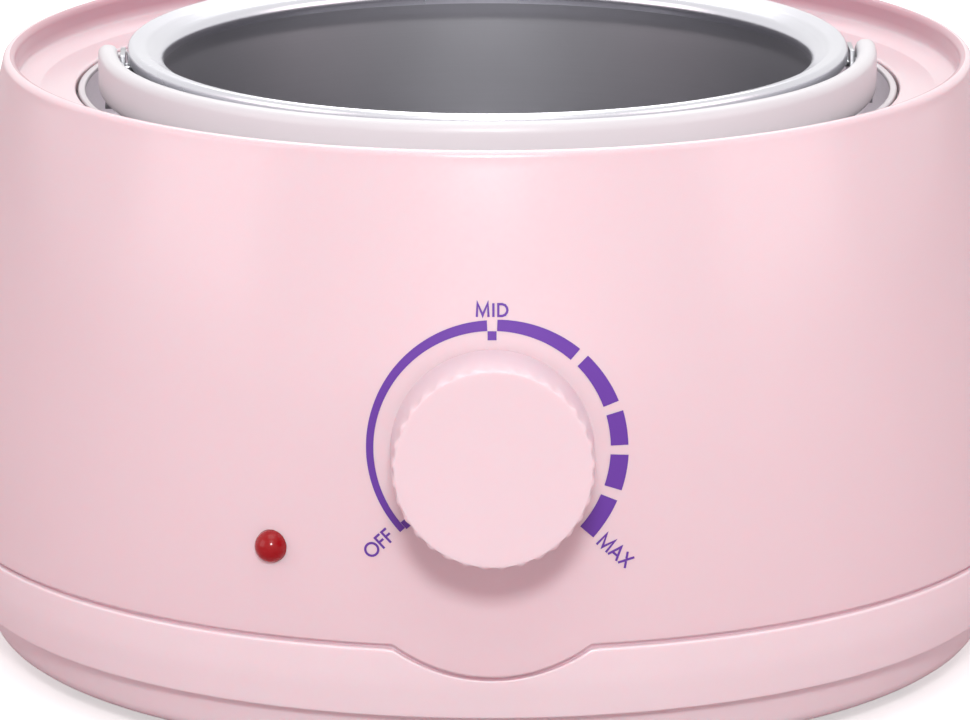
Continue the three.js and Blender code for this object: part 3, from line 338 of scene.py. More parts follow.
# Painted shade: the casing's recess wall and the groove on the base are darkened in colour where shade falls.
recess_shade, groove_shade = painted_shade(77.1, 93.1, 94.8, 1.8), painted_shade(86.6, 16.3, 16.8, 1.2)
moulded_finishes = [
    # slot, name, colour, bump, tone, gloss, change of gloss, settings of the surface, painted shade
    ("shell", "casing_pink", (231, 212, 217), 0.1, 0.012, 0.3, 0.04, glossy_pink, recess_shade),
    # The base is the same pink plastic as the casing; its paler colour is painted light, standing in for light on
    # its downward-leaning side.
    ("base", "base_pink_painted_light", (246, 233, 237), 0.1, 0.012, 0.36, 0.04, soft_coat | soft_pink, groove_shade),
    ("knob", "knob_pink", (231, 214, 219), 0.15, 0.012, 0.42, 0.05, soft_pink, {}),
    ("strap", "white_strap", (215, 220, 222), 0.1, 0.01, 0.38, 0.03, soft_coat, {}),
    ("wire", "drawn_steel", (176, 176, 180), 0.2, 0.06, 0.3, 0.12, metal, {}),
    ("zinc", "zinc_plate", (186, 188, 190), 0.2, 0.08, 0.38, 0.15, metal, {}),
    ("phenolic", "brown_moulding", (91, 58, 40), 0.3, 0.1, 0.55, 0.1, {}, {}),
    ("brass", "turned_brass", (205, 168, 95), 0.2, 0.05, 0.3, 0.1, metal, {}),
    ("black", "black_moulding", (42, 42, 45), 0.4, 0.1, 0.5, 0.1, {}, {}),
    ("rubber", "grey_rubber", (140, 134, 136), 0.6, 0.08, 0.8, 0.1, {}, {}),
    ("sheath", "oxidised_sheath", (118, 112, 108), 0.4, 0.15, 0.5, 0.2, metal, {}),
    ("white", "white_moulding", (232, 229, 220), 0.3, 0.04, 0.5, 0.08, {}, {}),
    ("brown_wire", "brown_sleeve", (110, 64, 38), 0.2, 0.05, 0.45, 0.06, {}, {}),
    ("blue_wire", "blue_sleeve", (45, 88, 166), 0.2, 0.05, 0.45, 0.06, {}, {}),
    ("green_wire", "green_sleeve", (112, 174, 60), 0.2, 0.05, 0.45, 0.06, {}, {}),
    ("lamp", "clear_red", (140, 0, 10), 0.0, 0.05, 0.12, 0.02, red_lens_painted_glow, {}),
    ("ink", "violet_ink", (98, 52, 160), 0.3, 0.05, 0.45, 0.08, {}, {}),
]
finishes = {}
for slot, name, colour, bump, tone, gloss, change, settings, with_painted_shade in moulded_finishes:
    values = {"Tone": tone, "Gloss": gloss, "Gloss Change": change, **with_painted_shade}
    finishes[slot] = finish_of(name, moulding, colour, bump, values, settings)
# The pot's inner tone is painted shade and the well's inner tone is painted light.
for slot, name, colour, bump, ring_depth, gloss, metallic, inner in (
    ("pot", "polished_aluminium", (221, 220, 226), 0.2, 0.08, 0.26, 1.0, inside(53.9, 94.6, 0.62, 0.15)),
    ("well", "satin_aluminium", (192, 188, 191), 0.3, 0.1, 0.5, 0.5, inside(65.5, 91.2, 1.75)),
):
    values = {"Gloss": gloss, "Ring Depth": ring_depth, **inner}
    finishes[slot] = finish_of(name, spinning, colour, bump, values, {"Metallic": metallic})
print(len(finishes), "finishes")

# %% [markdown]
# ## Turned pieces
#
# Most of this object is round, so most pieces are an outline turned about an axis. A lathe works
# that way, and so does one Geometry Nodes tree: it lays a grid with one row for each point of the
# outline and one column for each step round the axis, and then moves every grid point to its place.
# The same tree presses flutes into an outline, because the outline's Y value says how deep they go.
# A real edge is never perfectly sharp, so a helper first rounds the corners of the outline.

# %% Outlines with rounded corners
most_of_a_side = 0.48


def rounded(corners, closed=True, steps=5, support=0.5):
    """Corners are (radius, height, rounding). Points near each rounding keep the flats flat."""
    points = []
    count = len(corners)
    for i, (x, z, rounding) in enumerate(corners):
        here = Vector((x, z))
        if not rounding or (not closed and i in (0, count - 1)):
            points.append((x, z))
            continue
        before = Vector(corners[i - 1][:2]) - here
        after = Vector(corners[(i + 1) % count][:2]) - here
        half = before.angle(after) / 2
        room = most_of_a_side * min(before.length, after.length)
        reach = min(rounding / math.tan(half), room)
        radius = reach * math.tan(half)
        before_unit, after_unit = before.normalized(), after.normalized()
        middle = here + (before_unit + after_unit).normalized() * (radius / math.sin(half))
        start, end = here + before_unit * reach, here + after_unit * reach
        if before.length > 2 * (reach + support):
            points.append(tuple(start + before_unit * support))
        for k in range(steps + 1):
            spoke = (start - middle).slerp(end - middle, k / steps)
            points.append(tuple(middle + spoke * radius))
        if after.length > 2 * (reach + support):
            points.append(tuple(end + after_unit * support))
    return points


def arc(x, z, across, up, angles):
    """Points of an arc about (x, z), with angles in degrees. They need no rounding."""
    turns = [math.radians(angle) for angle in angles]
    return [(x + across * math.cos(turn), z + up * math.sin(turn), 0) for turn in turns]


def flat_mesh(name, points, faces=()):
    mesh = bpy.data.meshes.new(name)
    mesh.from_pydata([tuple(v * MM for v in point) for point in points], (), faces)
    return linked(name, mesh)


# %% The tree that turns an outline
GEOMETRY, MATERIAL = "NodeSocketGeometry", "NodeSocketMaterial"


def end_tree(tree, geometry, finish):
    real = node(tree, "GeometryNodeRealizeInstances", {"Geometry": geometry})
    dressed = node(tree, "GeometryNodeSetMaterial", {"Geometry": real[0], "Material": finish})
    node(tree, "NodeGroupOutput", {"Piece": dressed[0]})
    print("tree:", tree.name, "with", len(tree.nodes), "nodes")


def place_at(tree, across, forward, up):
    return node(tree, "ShaderNodeCombineXYZ", {"X": across, "Y": forward, "Z": up})[0]


turning, given = new_tree(
    "turned_part",
    "GeometryNodeTree",
    {"Outline": GEOMETRY, "Sides": 96, "Flutes": 0, "Flute Depth": 0.0, "Finish": MATERIAL},
    {"Piece": GEOMETRY},
)
calc = calculator(turning)
columns = calc("+", given["Sides"], 1.0)
size = node(turning, "GeometryNodeAttributeDomainSize", {"Geometry": given["Outline"]}, component="MESH")
grid = {"Vertices X": size["Point Count"], "Vertices Y": columns}
sheet = node(turning, "GeometryNodeMeshGrid", grid)["Mesh"]
index = node(turning, "GeometryNodeInputIndex")[0]
row = calc("FLOOR", calc("/", index, columns))
angle = calc("*", calc("/", calc("MODULO", index, columns), given["Sides"]), 2 * math.pi)
position = node(turning, "GeometryNodeInputPosition")[0]
sample = node(
    turning,
    "GeometryNodeSampleIndex",
    {"Geometry": given["Outline"], "Value": position, "Index": row},
    data_type="FLOAT_VECTOR",
    domain="POINT",
)
outline_at = parts_of(turning, sample[0])
wave = calc("COSINE", calc("*", angle, given["Flutes"]))
press = calc("*", calc("*", calc("+", wave, 1.0), 0.5), given["Flute Depth"])
press = calc("*", press, calc("*", outline_at["Y"], 1 / MM))
radius = calc("-", outline_at["X"], press)
across = calc("*", radius, calc("SINE", angle))
forward = calc("*", radius, calc("*", calc("COSINE", angle), -1.0))
there = place_at(turning, across, forward, outline_at["Z"])
moved = node(turning, "GeometryNodeSetPosition", {"Geometry": sheet, "Position": there})
sealed = node(turning, "GeometryNodeMergeByDistance", {"Geometry": moved[0], "Distance": 0.001 * MM})
end_tree(turning, sealed[0], given["Finish"])

# %% Keep a tree's result as a plain mesh
sharp_angle = math.radians(35)


def only_finish(mesh, finish):
    mesh.materials.clear()
    mesh.materials.append(finish)
    mesh.polygons.foreach_set("material_index", [0] * len(mesh.polygons))


def closed_piece(name, mesh):
    """Turns the faces outwards, shades them smoothly between sharp edges and links the piece."""
    work = bmesh.new()
    work.from_mesh(mesh)
    if work.calc_volume(signed=True) < 0:
        bmesh.ops.reverse_faces(work, faces=work.faces)
    open_edges = sum(1 for edge in work.edges if len(edge.link_faces) != 2)
    work.to_mesh(mesh)
    volume = work.calc_volume() / MM**3
    work.free()
    mesh.polygons.foreach_set("use_smooth", [True] * len(mesh.polygons))
    mesh.set_sharp_from_angle(angle=sharp_angle)
    print(f"{name}: {len(mesh.polygons)} faces, {open_edges} open edges, {volume:.0f} cubic mm")
    return linked(name, mesh)


def settle(name, piece, finish, used, place=None):
    """Keeps what the modifiers make of a piece as a plain mesh, and removes the used objects."""
    graph = bpy.context.evaluated_depsgraph_get()
    seen_piece = piece.evaluated_get(graph)
    mesh = bpy.data.meshes.new_from_object(seen_piece, preserve_all_data_layers=True, depsgraph=graph)
    for old in used:
        bpy.data.objects.remove(old)
    mesh.name = name
    only_finish(mesh, finish)
    if place is not None:
        mesh.transform(place)
    return closed_piece(name, mesh)


def grown(source, tree, name, inputs, place=None):
    """Runs a tree on the source, with its inputs by name."""
    modifier = source.modifiers.new(tree.name, "NODES")
    modifier.node_group = tree
    for item in tree.interface.items_tree:
        if item.in_out == "INPUT" and item.name in inputs:
            modifier[item.identifier] = inputs[item.name]
    return settle(name, source, inputs["Finish"], [source], place)


def turned(name, outline, finish, sides, place, closed=True, flutes=0, flute_depth=0.0, shares=None):
    """Turns an outline. The shares say how deep the flutes go at each of its points."""
    depths = shares or [0.0] * len(outline)
    points = [(x, share, z) for (x, z), share in zip(outline, depths)]
    if closed:
        points.append(points[0])
    inputs = {"Sides": sides, "Flutes": flutes, "Flute Depth": flute_depth * MM, "Finish": finishes[finish]}
    return grown(flat_mesh(name + "_outline", points), turning, name, inputs, place)


def solid(name, corners, finish, sides, place, steps=5):
    """Turns a piece whose outline begins and ends on its own axis."""
    return turned(name, rounded(corners, False, steps), finish, sides, place, closed=False)


def dress(piece, body, finish, *nodes):
    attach(piece, body)
    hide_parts(*nodes)


on_axis = Matrix.Translation(Vector((0, axis_y, 0)) * MM)
print("sharp edges from", round(math.degrees(sharp_angle)), "degrees")

# %% [markdown]
# ## The casing
#
# On the real heater the casing is one glossy moulding: the outer wall rises to a rounded rim, drops
# into a recess, and the recess floor ends in the hole for the well. Its lower edge dips at the
# front, where the base rises to fill it. The wall is turned from one outline with a step for each
# degree, so that the ends of the dip fall on a step. The dip isn't cut: the rows near the edge are
# drawn down to follow it, which keeps the rounded edge and gives an even mesh.

# %% Casing outline
def wall_points(low, high, steps, inset=0.0):
    heights = [low + (high - low) * i / steps for i in range(steps + 1)]
    return [(wall_radius(z) - inset, z, 0) for z in heights]


casing_edge = seam_height + half_seam
deck_underside = deck_height - deck_thickness
well_hole = 66.6
rim_low = rim_height - rim_round
rim_middle = wall_radius(rim_low) - rim_round
rim_points = arc(rim_middle, rim_low, rim_round, rim_round, range(15, 181, 15))
outer_wall = wall_points(casing_edge, rim_low, 48)
outer_wall[0] = (seam_radius, casing_edge, 0.35)
inner_wall = wall_points(casing_edge, deck_underside, 16, casing_wall)[::-1]
inner_wall[0] = (*inner_wall[0][:2], 1.0)
inner_wall[-1] = (*inner_wall[-1][:2], 0.2)
recess = [(76.08, 93.2, 0.5), (72.28, deck_height, 1.2)]
hole_edge = [(well_hole, deck_height, 0.4), (well_hole, deck_underside, 0.3)]
casing_outline = rounded([*outer_wall, *rim_points, *recess, *hole_edge, *inner_wall])
print(len(casing_outline), "points in the casing's outline")

# %% The dip at the front of the parting groove
dip_arc = (dip_half_width**2 + dip_depth**2) / (2 * dip_depth)
dip_middle = seam_height - dip_depth + dip_arc
dip_top = 34


def edge_height(x, offset):
    """Height of an edge that runs above or below the middle of the groove by the offset."""
    radius = dip_arc - offset
    if abs(x) >= radius:
        return seam_height + offset
    return min(seam_height + offset, dip_middle - math.sqrt(radius**2 - x**2))


def reshape(piece, rule):
    """Moves the front half of a piece about the casing's axis: the rule gives (radius, height)."""
    for vertex in piece.data.vertices:
        x, y, z = vertex.co.x / MM, vertex.co.y / MM - axis_y, vertex.co.z / MM
        radius = math.hypot(x, y)
        moved = rule(x, radius, z) if y <= 0 < radius else None
        if moved is not None:
            scale = moved[0] / radius
            vertex.co = Vector((x * scale, axis_y + y * scale, moved[1])) * MM


def casing_dip(x, radius, z):
    if z >= dip_top:
        return None
    share = (dip_top - z) / (dip_top - casing_edge)
    lowered = dip_top - share * (dip_top - edge_height(x, half_seam))
    return radius + wall_radius(lowered) - wall_radius(z), lowered


casing = turned("casing_shell", casing_outline, "shell", 360, on_axis)
reshape(casing, casing_dip)
print("lowest point of the dip:", round(edge_height(0, 0), 2), "mm")

# %% [markdown]
# ## Places on the wall, and holes through it
#
# The knob, the lamp and the cord gland each have an axis square to the wall. One matrix gives that
# place: its Z points out of the wall and its Y runs up the wall. The holes are drilled along the
# same axes with the exact Boolean solver, and the result is kept as a plain mesh.

# %% Places on the wall, and cutting
def on_wall(azimuth, height):
    spin = Matrix.Rotation(math.radians(azimuth), 4, "Z")
    out_to_wall = Matrix.Translation(Vector((0, -wall_radius(height), height)) * MM)
    tilt = Matrix.Rotation(math.pi / 2 - wall_lean(height), 4, "X")
    return on_axis @ spin @ out_to_wall @ tilt


def drill(name, radius, low, high, place, sides=64):
    outline = [(0, low), (radius, low), (radius, high), (0, high)]
    return turned(name, outline, "shell", sides, place, closed=False)


def cut(piece, *tools, operation="DIFFERENCE"):
    """Cuts or joins the tools and keeps the result under the piece's own name."""
    for tool in tools:
        modifier = piece.modifiers.new(tool.name, "BOOLEAN")
        modifier.operation, modifier.solver, modifier.object = operation, "EXACT", tool
    return settle(piece.name, piece, piece.data.materials[0], [piece, *tools])


control_place = on_wall(0, dial_height)
lamp_place = on_wall(lamp_azimuth, lamp_height)
gland_place = on_wall(180, gland_height)
casing = cut(
    casing,
    drill("shaft_hole", 3.6, -6, 3, control_place),
    drill("lamp_hole", 2.58, -6, 3, lamp_place),
    drill("gland_hole", 5.3, -6, 3, gland_place),
)
dress(casing, "casing", "shell", "upper_shell")

# %% [markdown]
# ## Copies round the axis
#
# Screws, feet, posts and vents stand in rings. A ring is what instances are for: one tree puts a
# copy of a part on each of a few points and turns it about the axis. Rings of four here aren't
# quite even, so a second angle is added and taken away in turn. The real parts come in the
# same way: four alike, each dropped into its own seat.

# %% The tree that repeats a part round the axis
repeating, given = new_tree(
    "ring_of_parts",
    "GeometryNodeTree",
    {"Part": GEOMETRY, "Count": 4, "First Angle": 0.0, "Turn In Turn": 0.0, "Finish": MATERIAL},
    {"Piece": GEOMETRY},
)
calc = calculator(repeating)
seats = node(repeating, "GeometryNodeMeshLine", {"Count": given["Count"], "Offset": (0, 0, 0)})
number = node(repeating, "GeometryNodeInputIndex")[0]
even = calc("/", calc("*", number, 2 * math.pi), given["Count"])
swap = calc("-", 1.0, calc("*", calc("MODULO", number, 2.0), 2.0))
lean = calc("*", swap, given["Turn In Turn"])
turn_by = place_at(repeating, 0.0, 0.0, calc("+", calc("+", even, given["First Angle"]), lean))
copies = {"Points": seats[0], "Instance": given["Part"], "Rotation": turn_by}
ring = node(repeating, "GeometryNodeInstanceOnPoints", copies)
end_tree(repeating, ring[0], given["Finish"])


def ring_of(name, part, finish, count=4, first=0.0, in_turn=0.0):
    """Copies of a part round the axis. Angles are in degrees."""
    angles = {"First Angle": math.radians(first), "Turn In Turn": math.radians(in_turn)}
    inputs = {"Count": count, "Finish": finishes[finish], **angles}
    return grown(part, repeating, name, inputs, on_axis)


def out_from_axis(radius):
    return Matrix.Translation(Vector((radius, 0, 0)) * MM)


def bar(name, low, high):
    """A block between two corners, in millimetres."""
    corners = [(x, y, z) for x in (low[0], high[0]) for y in (low[1], high[1]) for z in (low[2], high[2])]
    faces = [(0, 1, 3, 2), (4, 6, 7, 5), (0, 4, 5, 1), (2, 3, 7, 6), (0, 2, 6, 4), (1, 5, 7, 3)]
    return flat_mesh(name, corners, faces)

# %% [markdown]
# ## The base
#
# The base is a shallow pan in the same pink. A step near its foot makes the dark line low on the
# body, and a tongue inside its upper edge locates the casing. Where the casing dips, the base's
# edge is drawn down in the same way, so the groove between them keeps its width. Underneath are the
# seats for the feet, the deep wells for the screws and a ring of vents.

# %% Base outline and dip
base_edge = seam_height - half_seam
groove_floor = seam_height + 0.3
base_side, slack = 84.8, 0.05
dip_foot = 12
base_slope = [(85.2, 10.5), (86.6, 16.175), (seam_radius, base_edge)]


def base_radius(z):
    for (low_radius, low), (high_radius, high) in zip(base_slope, base_slope[1:]):
        if z <= high:
            return low_radius + (high_radius - low_radius) * max(0.0, z - low) / (high - low)
    return seam_radius


def base_dip(x, radius, z):
    if radius < base_side - slack or z <= dip_foot or z > groove_floor + slack:
        return None
    if z > base_edge:
        lowered = edge_height(x, z - seam_height)
    else:
        share = (z - dip_foot) / (base_edge - dip_foot)
        lowered = dip_foot + share * (edge_height(x, -half_seam) - dip_foot)
    outward = (radius - base_side) / (base_radius(z) - base_side)
    return radius + outward * (base_radius(lowered) - base_radius(z)), lowered


slope_rows = (11.4, 12.4, 13.6, 14.8, 16.175, 17.4, 18.6, 19.8, 21.0)
base_corners = [
    (0, 2.9, 0), (60, 2.9, 0), (80.7, 2.9, 3.0), (83.2, 10.5, 0.35), (85.2, 10.5, 0.35),
    *[(base_radius(z), z, 0) for z in slope_rows], (seam_radius, base_edge, 0.35),
    (86.35, base_edge, 0.1), (86.35, groove_floor, 0.05), (base_side, groove_floor, 0.1),
    (base_side, 25.2, 0.3), (83.2, 25.2, 0.3), (83.2, 13.1, 1.0), (79.0, 10.5, 0.6), (79.0, 7.7, 0.6),
    (76.4, 5.1, 0.6), (0, 5.1, 0),
]
base = solid("base_shell", base_corners, "base", 360, on_axis)
reshape(base, base_dip)

# %% Posts, screw wells, foot seats and vents
post_place, foot_place = out_from_axis(74), out_from_axis(71)
post_ring, foot_ring = {"first": 45, "in_turn": -15}, {"first": 45, "in_turn": 15}
post_corners = [(0, 4, 0), (4.3, 4, 0), (4.3, 13.3, 0.4), (3.6, 13.3, 0.2), (3.6, 25.2, 0.3), (0, 25.2, 0)]
post = solid("base_post", post_corners, "base", 40, post_place)
posts = ring_of("base_posts", post, "base", **post_ring)
head_well = drill("screw_well", 3.3, 0, 12.0, post_place, sides=40)
shank_hole = drill("screw_hole", 1.8, 11, 27, post_place, sides=24)
foot_seat = drill("foot_seat", 7.3, 0, 3.7, foot_place)
vent = bar("vent", (20, -1.1, 0), (36, 1.1, 8))
base = cut(
    cut(base, posts, operation="UNION"),
    ring_of("screw_wells", head_well, "base", **post_ring),
    ring_of("screw_holes", shank_hole, "base", **post_ring),
    ring_of("foot_seats", foot_seat, "base", **foot_ring),
    ring_of("vents", vent, "base", count=12),
)
dress(base, "casing", "base", "base_pan")

# %% [markdown]
# ## Feet and base screws
#
# Soft feet keep the heater from sliding and lift the vents off the table. Each is a low turned
# button with a shallow hollow. The screws sit deep in their wells with their heads down; a cross
# is cut into one head, and the ring tree makes the other three.

# %% Feet and base screws
foot_corners = [(0, 0.5, 0), (4.2, 0.5, 0.3), (4.8, 0, 0.3), (7, 0, 0.7), (7, 3.4, 0.3), (0, 3.4, 0)]
foot = solid("foot", foot_corners, "rubber", 64, foot_place)
feet = ring_of("rubber_feet", foot, "rubber", **foot_ring)
dress(feet, "casing", "rubber", "foot_1", "foot_2", "foot_3", "foot_4")

head_corners = [(0, 9.3, 0), (2.2, 9.3, 0.5), (3.0, 10.4, 0.5), (3.0, 11.7, 0.2)]
shank_corners = [(1.35, 11.7, 0.2), (1.35, 36.0, 0.5), (0, 36.5, 0)]
screw = solid("base_screw", head_corners + shank_corners, "zinc", 32, post_place)
slot = bar("slot", (72.4, -0.3, 9), (75.6, 0.3, 10.6))
cross_slot = bar("cross_slot", (73.7, -1.6, 9), (74.3, 1.6, 10.6))
screws = ring_of("base_screws", cut(screw, slot, cross_slot), "zinc", **post_ring)
dress(screws, "casing", "zinc", "base_screw_1", "base_screw_2", "base_screw_3", "base_screw_4")

# %% [markdown]
# ## The heating well
#
# The well is a stepped cup of satin aluminium under the deck. Only its upper ring shows, as the
# grey band round the pot, but the whole cup is there when the pot is lifted out. Its floor carries
# the stud that clamps the heating element, so the stud is part of the same outline.

# %% Heating well
well_corners = [
    (0, 30, 0), (40, 30, 0), (56.2, 30, 5.0), (56.2, 77.5, 1.5), (58.7, 80, 1.5), (62.5, 80, 1.2),
    (65, 82.5, 1.2), (65, 91.8, 0.3), (66.2, 91.8, 0.3), (66.2, 89.5, 0.3), (69.2, 89.5, 0.3),
    (69.2, 88.3, 0.3), (66.2, 88.3, 0.4), (66.2, 81.9, 1.5), (63.1, 78.8, 1.5), (59.3, 78.8, 1.5),
    (57.4, 76.9, 1.5), (57.4, 28.8, 6.2), (4.5, 28.8, 0.4), (4.5, 22.1, 0.2), (2, 22.1, 0.1),
    (2, 15.4, 0.4), (0, 15.4, 0),
]
well = solid("well_shell", well_corners, "well", 240, on_axis)
dress(well, "casing", "well", "heating_well")

# %% [markdown]
# ## The pot
#
# The pot is spun from thin aluminium. Its wall ends in a bead and a narrow neck, and the lip flares
# up and out, is rolled over at the crown and ends in a small curl. The bright lip is the most
# polished surface of the object. The handle's ears are tilted a little round the axis, because the
# real pot sits turned in its well, but the pot itself looks the same at any angle.

# %% Pot
pot_corners = [
    (0, 31.5, 0), (30, 31.5, 0), (53.5, 31.5, 8.0), (53.5, 92.4, 4.0), (51.9, 96.5, 1.6),
    (55.2, 98.4, 1.5), (57.2, 98.9, 0.5), *arc(57.2, 97.9, 1.0, 1.0, range(75, -1, -15)),
    (58.2, 96.5, 0.2), (55.6, 96.5, 0.6), (54.6, 95.5, 0.4), (54.6, 30.3, 9.1), (0, 30.3, 0),
]
pot = solid("pot_shell", pot_corners, "pot", 240, on_axis)
dress(pot, "pot_body", "pot", "inner_pot")

# %% [markdown]
# ## The bail handle
#
# The handle is an upright white strap bent into half a ring, with round ends where the hooks go in.
# Such a strap is easiest to think of flat: a long rounded bar with soft edges. So it is drawn flat
# as loops, one inside the next, and then bent round the pot, where its upper edge rises a little
# toward the middle and closes up to the lip. Last it is turned down about its hooks by the small
# angle that lets it rest on the ears, and turned with the pot.

# %% Bail handle
strap_radius, strap_half_height, strap_half_thickness, strap_round = 61.3, 3.7, 1.6, 1.4
strap_crest = 0.8
pivot_height, strap_droop = 94.8, math.radians(0.75)
half_length = strap_radius * math.pi / 2
straight_steps, end_steps, edge_steps = 72, 12, 7


def strap_loop(inset, side):
    """One loop round the flat strap: (along, up, out)."""
    high = strap_half_height - inset
    half = [(half_length * (2 * k / straight_steps - 1), high, side) for k in range(straight_steps)]
    for angle in (math.pi * k / end_steps for k in range(end_steps)):
        half.append((half_length + high * math.sin(angle), high * math.cos(angle), side))
    return half + [(-along, -up, out) for along, up, out in half]


def strap_loops():
    flat = strap_half_thickness - strap_round
    quarter = [math.pi / 2 * k / edge_steps for k in range(edge_steps + 1)]
    half = [(strap_round * (1 - math.cos(a)), flat + strap_round * math.sin(a)) for a in quarter]
    half += [(inset, strap_half_thickness) for inset in (2.2, 3.0, strap_half_height)]
    return [(inset, -side) for inset, side in reversed(half)] + half


def bent(along, up, out):
    angle = along / strap_radius
    raised = up + strap_crest * max(up, 0) / strap_half_height * max(math.cos(angle), 0) ** 2
    reach = strap_radius + out
    return Vector((reach * math.sin(angle), -reach * math.cos(angle), raised))


loops = [[bent(*point) for point in strap_loop(inset, side)] for inset, side in strap_loops()]
width = len(loops[0])
strap_faces = [
    (a * width + k, a * width + (k + 1) % width, (a + 1) * width + (k + 1) % width, (a + 1) * width + k)
    for a in range(len(loops) - 1)
    for k in range(width)
]
strap = flat_mesh("strap_loops", [point for loop in loops for point in loop], strap_faces)
strap_mesh = strap.data
bpy.data.objects.remove(strap)
work = bmesh.new()
work.from_mesh(strap_mesh)
bmesh.ops.remove_doubles(work, verts=work.verts, dist=0.001 * MM)
work.to_mesh(strap_mesh)
work.free()
pivot = Matrix.Translation(Vector((0, axis_y, pivot_height)) * MM)
swing_place = pivot @ Matrix.Rotation(pot_turn, 4, "Z") @ Matrix.Rotation(strap_droop, 4, "X")
strap_mesh.transform(swing_place)
strap_mesh.materials.append(finishes["strap"])
hook_places = {
    "right": swing_place @ Matrix.Rotation(math.pi / 2, 4, "Y"),
    "left": swing_place @ Matrix.Rotation(-math.pi / 2, 4, "Y"),
}
hook_sockets = [drill("hook_socket", 1.1, 59.0, 61.9, place, sides=24) for place in hook_places.values()]
handle = cut(closed_piece("strap_handle", strap_mesh), *hook_sockets)
dress(handle, "handle_body", "strap", "bail_handle")

# %% [markdown]
# ## Ears and hooks
#
# The ears are folded from sheet metal and the hooks are short wire pins with a flattened head. The
# packed ears already have the right folds, but their edges are razor sharp. A copy is merged, its
# flat faces are joined again, and a narrow bevel gives each edge the small radius that catches the
# light. The hooks are turned.

# %% Ears and hooks
same_place, flat_angle, edge_angle, edge_width = 0.002, math.radians(2), math.radians(25), 0.12


def softened(node_name, name, finish):
    """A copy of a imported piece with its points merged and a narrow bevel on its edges."""
    work = bmesh.new()
    work.from_mesh(frame["nodes"][node_name].data)
    bmesh.ops.remove_doubles(work, verts=work.verts, dist=same_place * MM)
    bmesh.ops.dissolve_limit(work, angle_limit=flat_angle, verts=work.verts, edges=work.edges)
    folds = [edge for edge in work.edges if len(edge.link_faces) == 2]
    edges = [edge for edge in folds if edge.calc_face_angle() > edge_angle]
    bevel = {"offset": edge_width * MM, "offset_type": "OFFSET", "segments": 2, "profile": 0.5}
    bmesh.ops.bevel(work, geom=edges, affect="EDGES", clamp_overlap=True, **bevel)
    mesh = bpy.data.meshes.new(name)
    work.to_mesh(mesh)
    work.free()
    mesh.materials.append(finishes[finish])
    return closed_piece(name, mesh)


hook_head = [(0, 56.5, 0), (1.4, 56.5, 0.3), (1.4, 57.4, 0.3)]
hook_corners = [*hook_head, (0.8, 57.4, 0.15), (0.8, 61.6, 0.25), (0, 61.6, 0)]
for side in hook_places:
    dress(softened(f"pot_ear_{side}", f"sheet_ear_{side}", "wire"), "pot_body", "wire", f"pot_ear_{side}")
for side, place in hook_places.items():
    hook = solid(f"hook_pin_{side}", hook_corners, "wire", 24, place, steps=3)
    dress(hook, "handle_body", "wire", f"bail_hook_{side}")

# %% [markdown]
# ## The knob
#
# The knob is a satin moulding with a plain face and fine flutes round its rim for grip. It comes
# from the turning tree too: the outline's points near the rim carry the depth of the flutes. The
# flutes are deepest at the rounded edge of the face and run out a few millimetres behind it, so
# the side under them stays plain.

# %% Knob
knob_top, knob_foot = (15.15, 19.5), (15.4, 1.0)
flutes, steps_per_flute, flute_depth = 33, 12, 0.35
flute_end, flute_run = 15.6, 2.6
inside_flutes, under_face = 14.4, 19.45


def knob_side(z):
    return knob_top[0] + (knob_foot[0] - knob_top[0]) * (knob_top[1] - z) / (knob_top[1] - knob_foot[1])


def flute_share(radius, height):
    """How much of the flutes' depth a point of the outline takes: none on the face or inside."""
    if radius <= inside_flutes or height >= under_face:
        return 0.0
    return min(1.0, max(0.0, (height - flute_end) / flute_run))


knob_outline = rounded(
    [
        (0, 19.5, 0), (9, 19.5, 0), (*knob_top, 0.7),
        *[(knob_side(z), z, 0) for z in (17.6, 16.0, 14.4, 12.8, 11.2)], (*knob_foot, 0.3),
        (12.8, 1.0, 0.2), (12.8, 17.7, 0.8), (5.5, 17.7, 0.5), (5.5, 5.4, 0.3), (3.3, 5.4, 0.2),
        (3.3, 17.7, 0), (0, 17.7, 0),
    ],
    closed=False,
)
shares = [flute_share(*point) for point in knob_outline]
knob_sides = flutes * steps_per_flute
fluting = {"flutes": flutes, "flute_depth": flute_depth, "shares": shares}
knob = turned("fluted_knob", knob_outline, "knob", knob_sides, control_place, closed=False, **fluting)
dress(knob, "knob_body", "knob", "knob")

# %% [markdown]
# ## The lamp and the cord gland
#
# The lamp is a small red lens that pokes through the wall, held from behind by its flange. The
# gland is the black sleeve at the back that the mains lead enters by. Both are turned pieces on
# their own axes in the wall.

# %% Lamp and cord gland
lens_flange = [(0, -3.7, 0), (3, -3.7, 0.2), (3, -2.7, 0.2), (2.54, -2.7, 0), (2.54, -0.1, 0)]
lens_dome = arc(0, -0.1, 2.54, 2.5, [7.5 * k for k in range(1, 12)])
lens = solid("lamp_lens", [*lens_flange, *lens_dome, (0, 2.4, 0)], "lamp", 64, lamp_place)
dress(lens, "casing", "lamp", "indicator_lens")

gland_collar = [(3.3, 2.3, 0.4), (7.5, 2.3, 0.6), (7.5, 0.3, 0.3), (5.0, 0.3, 0.2)]
gland_outline = rounded([*gland_collar, (5.0, -12.1, 0.4), (3.3, -12.1, 0.3)])
gland = turned("cord_sleeve", gland_outline, "black", 96, gland_place)
dress(gland, "casing", "black", "cord_gland")

# %% [markdown]
# ## The printed scale
#
# The scale is violet ink on the wall: a ring that grows from a thin line to broad blocks, two small
# marks, and the words that such dials carry. Printed ink has almost no thickness, but a thin skin
# of its own is easier to see, to move and to change than a picture would be. So the artwork is
# drawn flat as closed strips, and one tree lays it on the wall. The wall is round and swells, so
# the tree works out how far the wall stands from the axis at each point and puts the point there.

# %% Strips of ink
ink_under, ink_over = -0.03, 0.06
ring_inside = 17.95
pen_width, least_mitre = 0.35, 0.35
art_points, art_faces = [], []


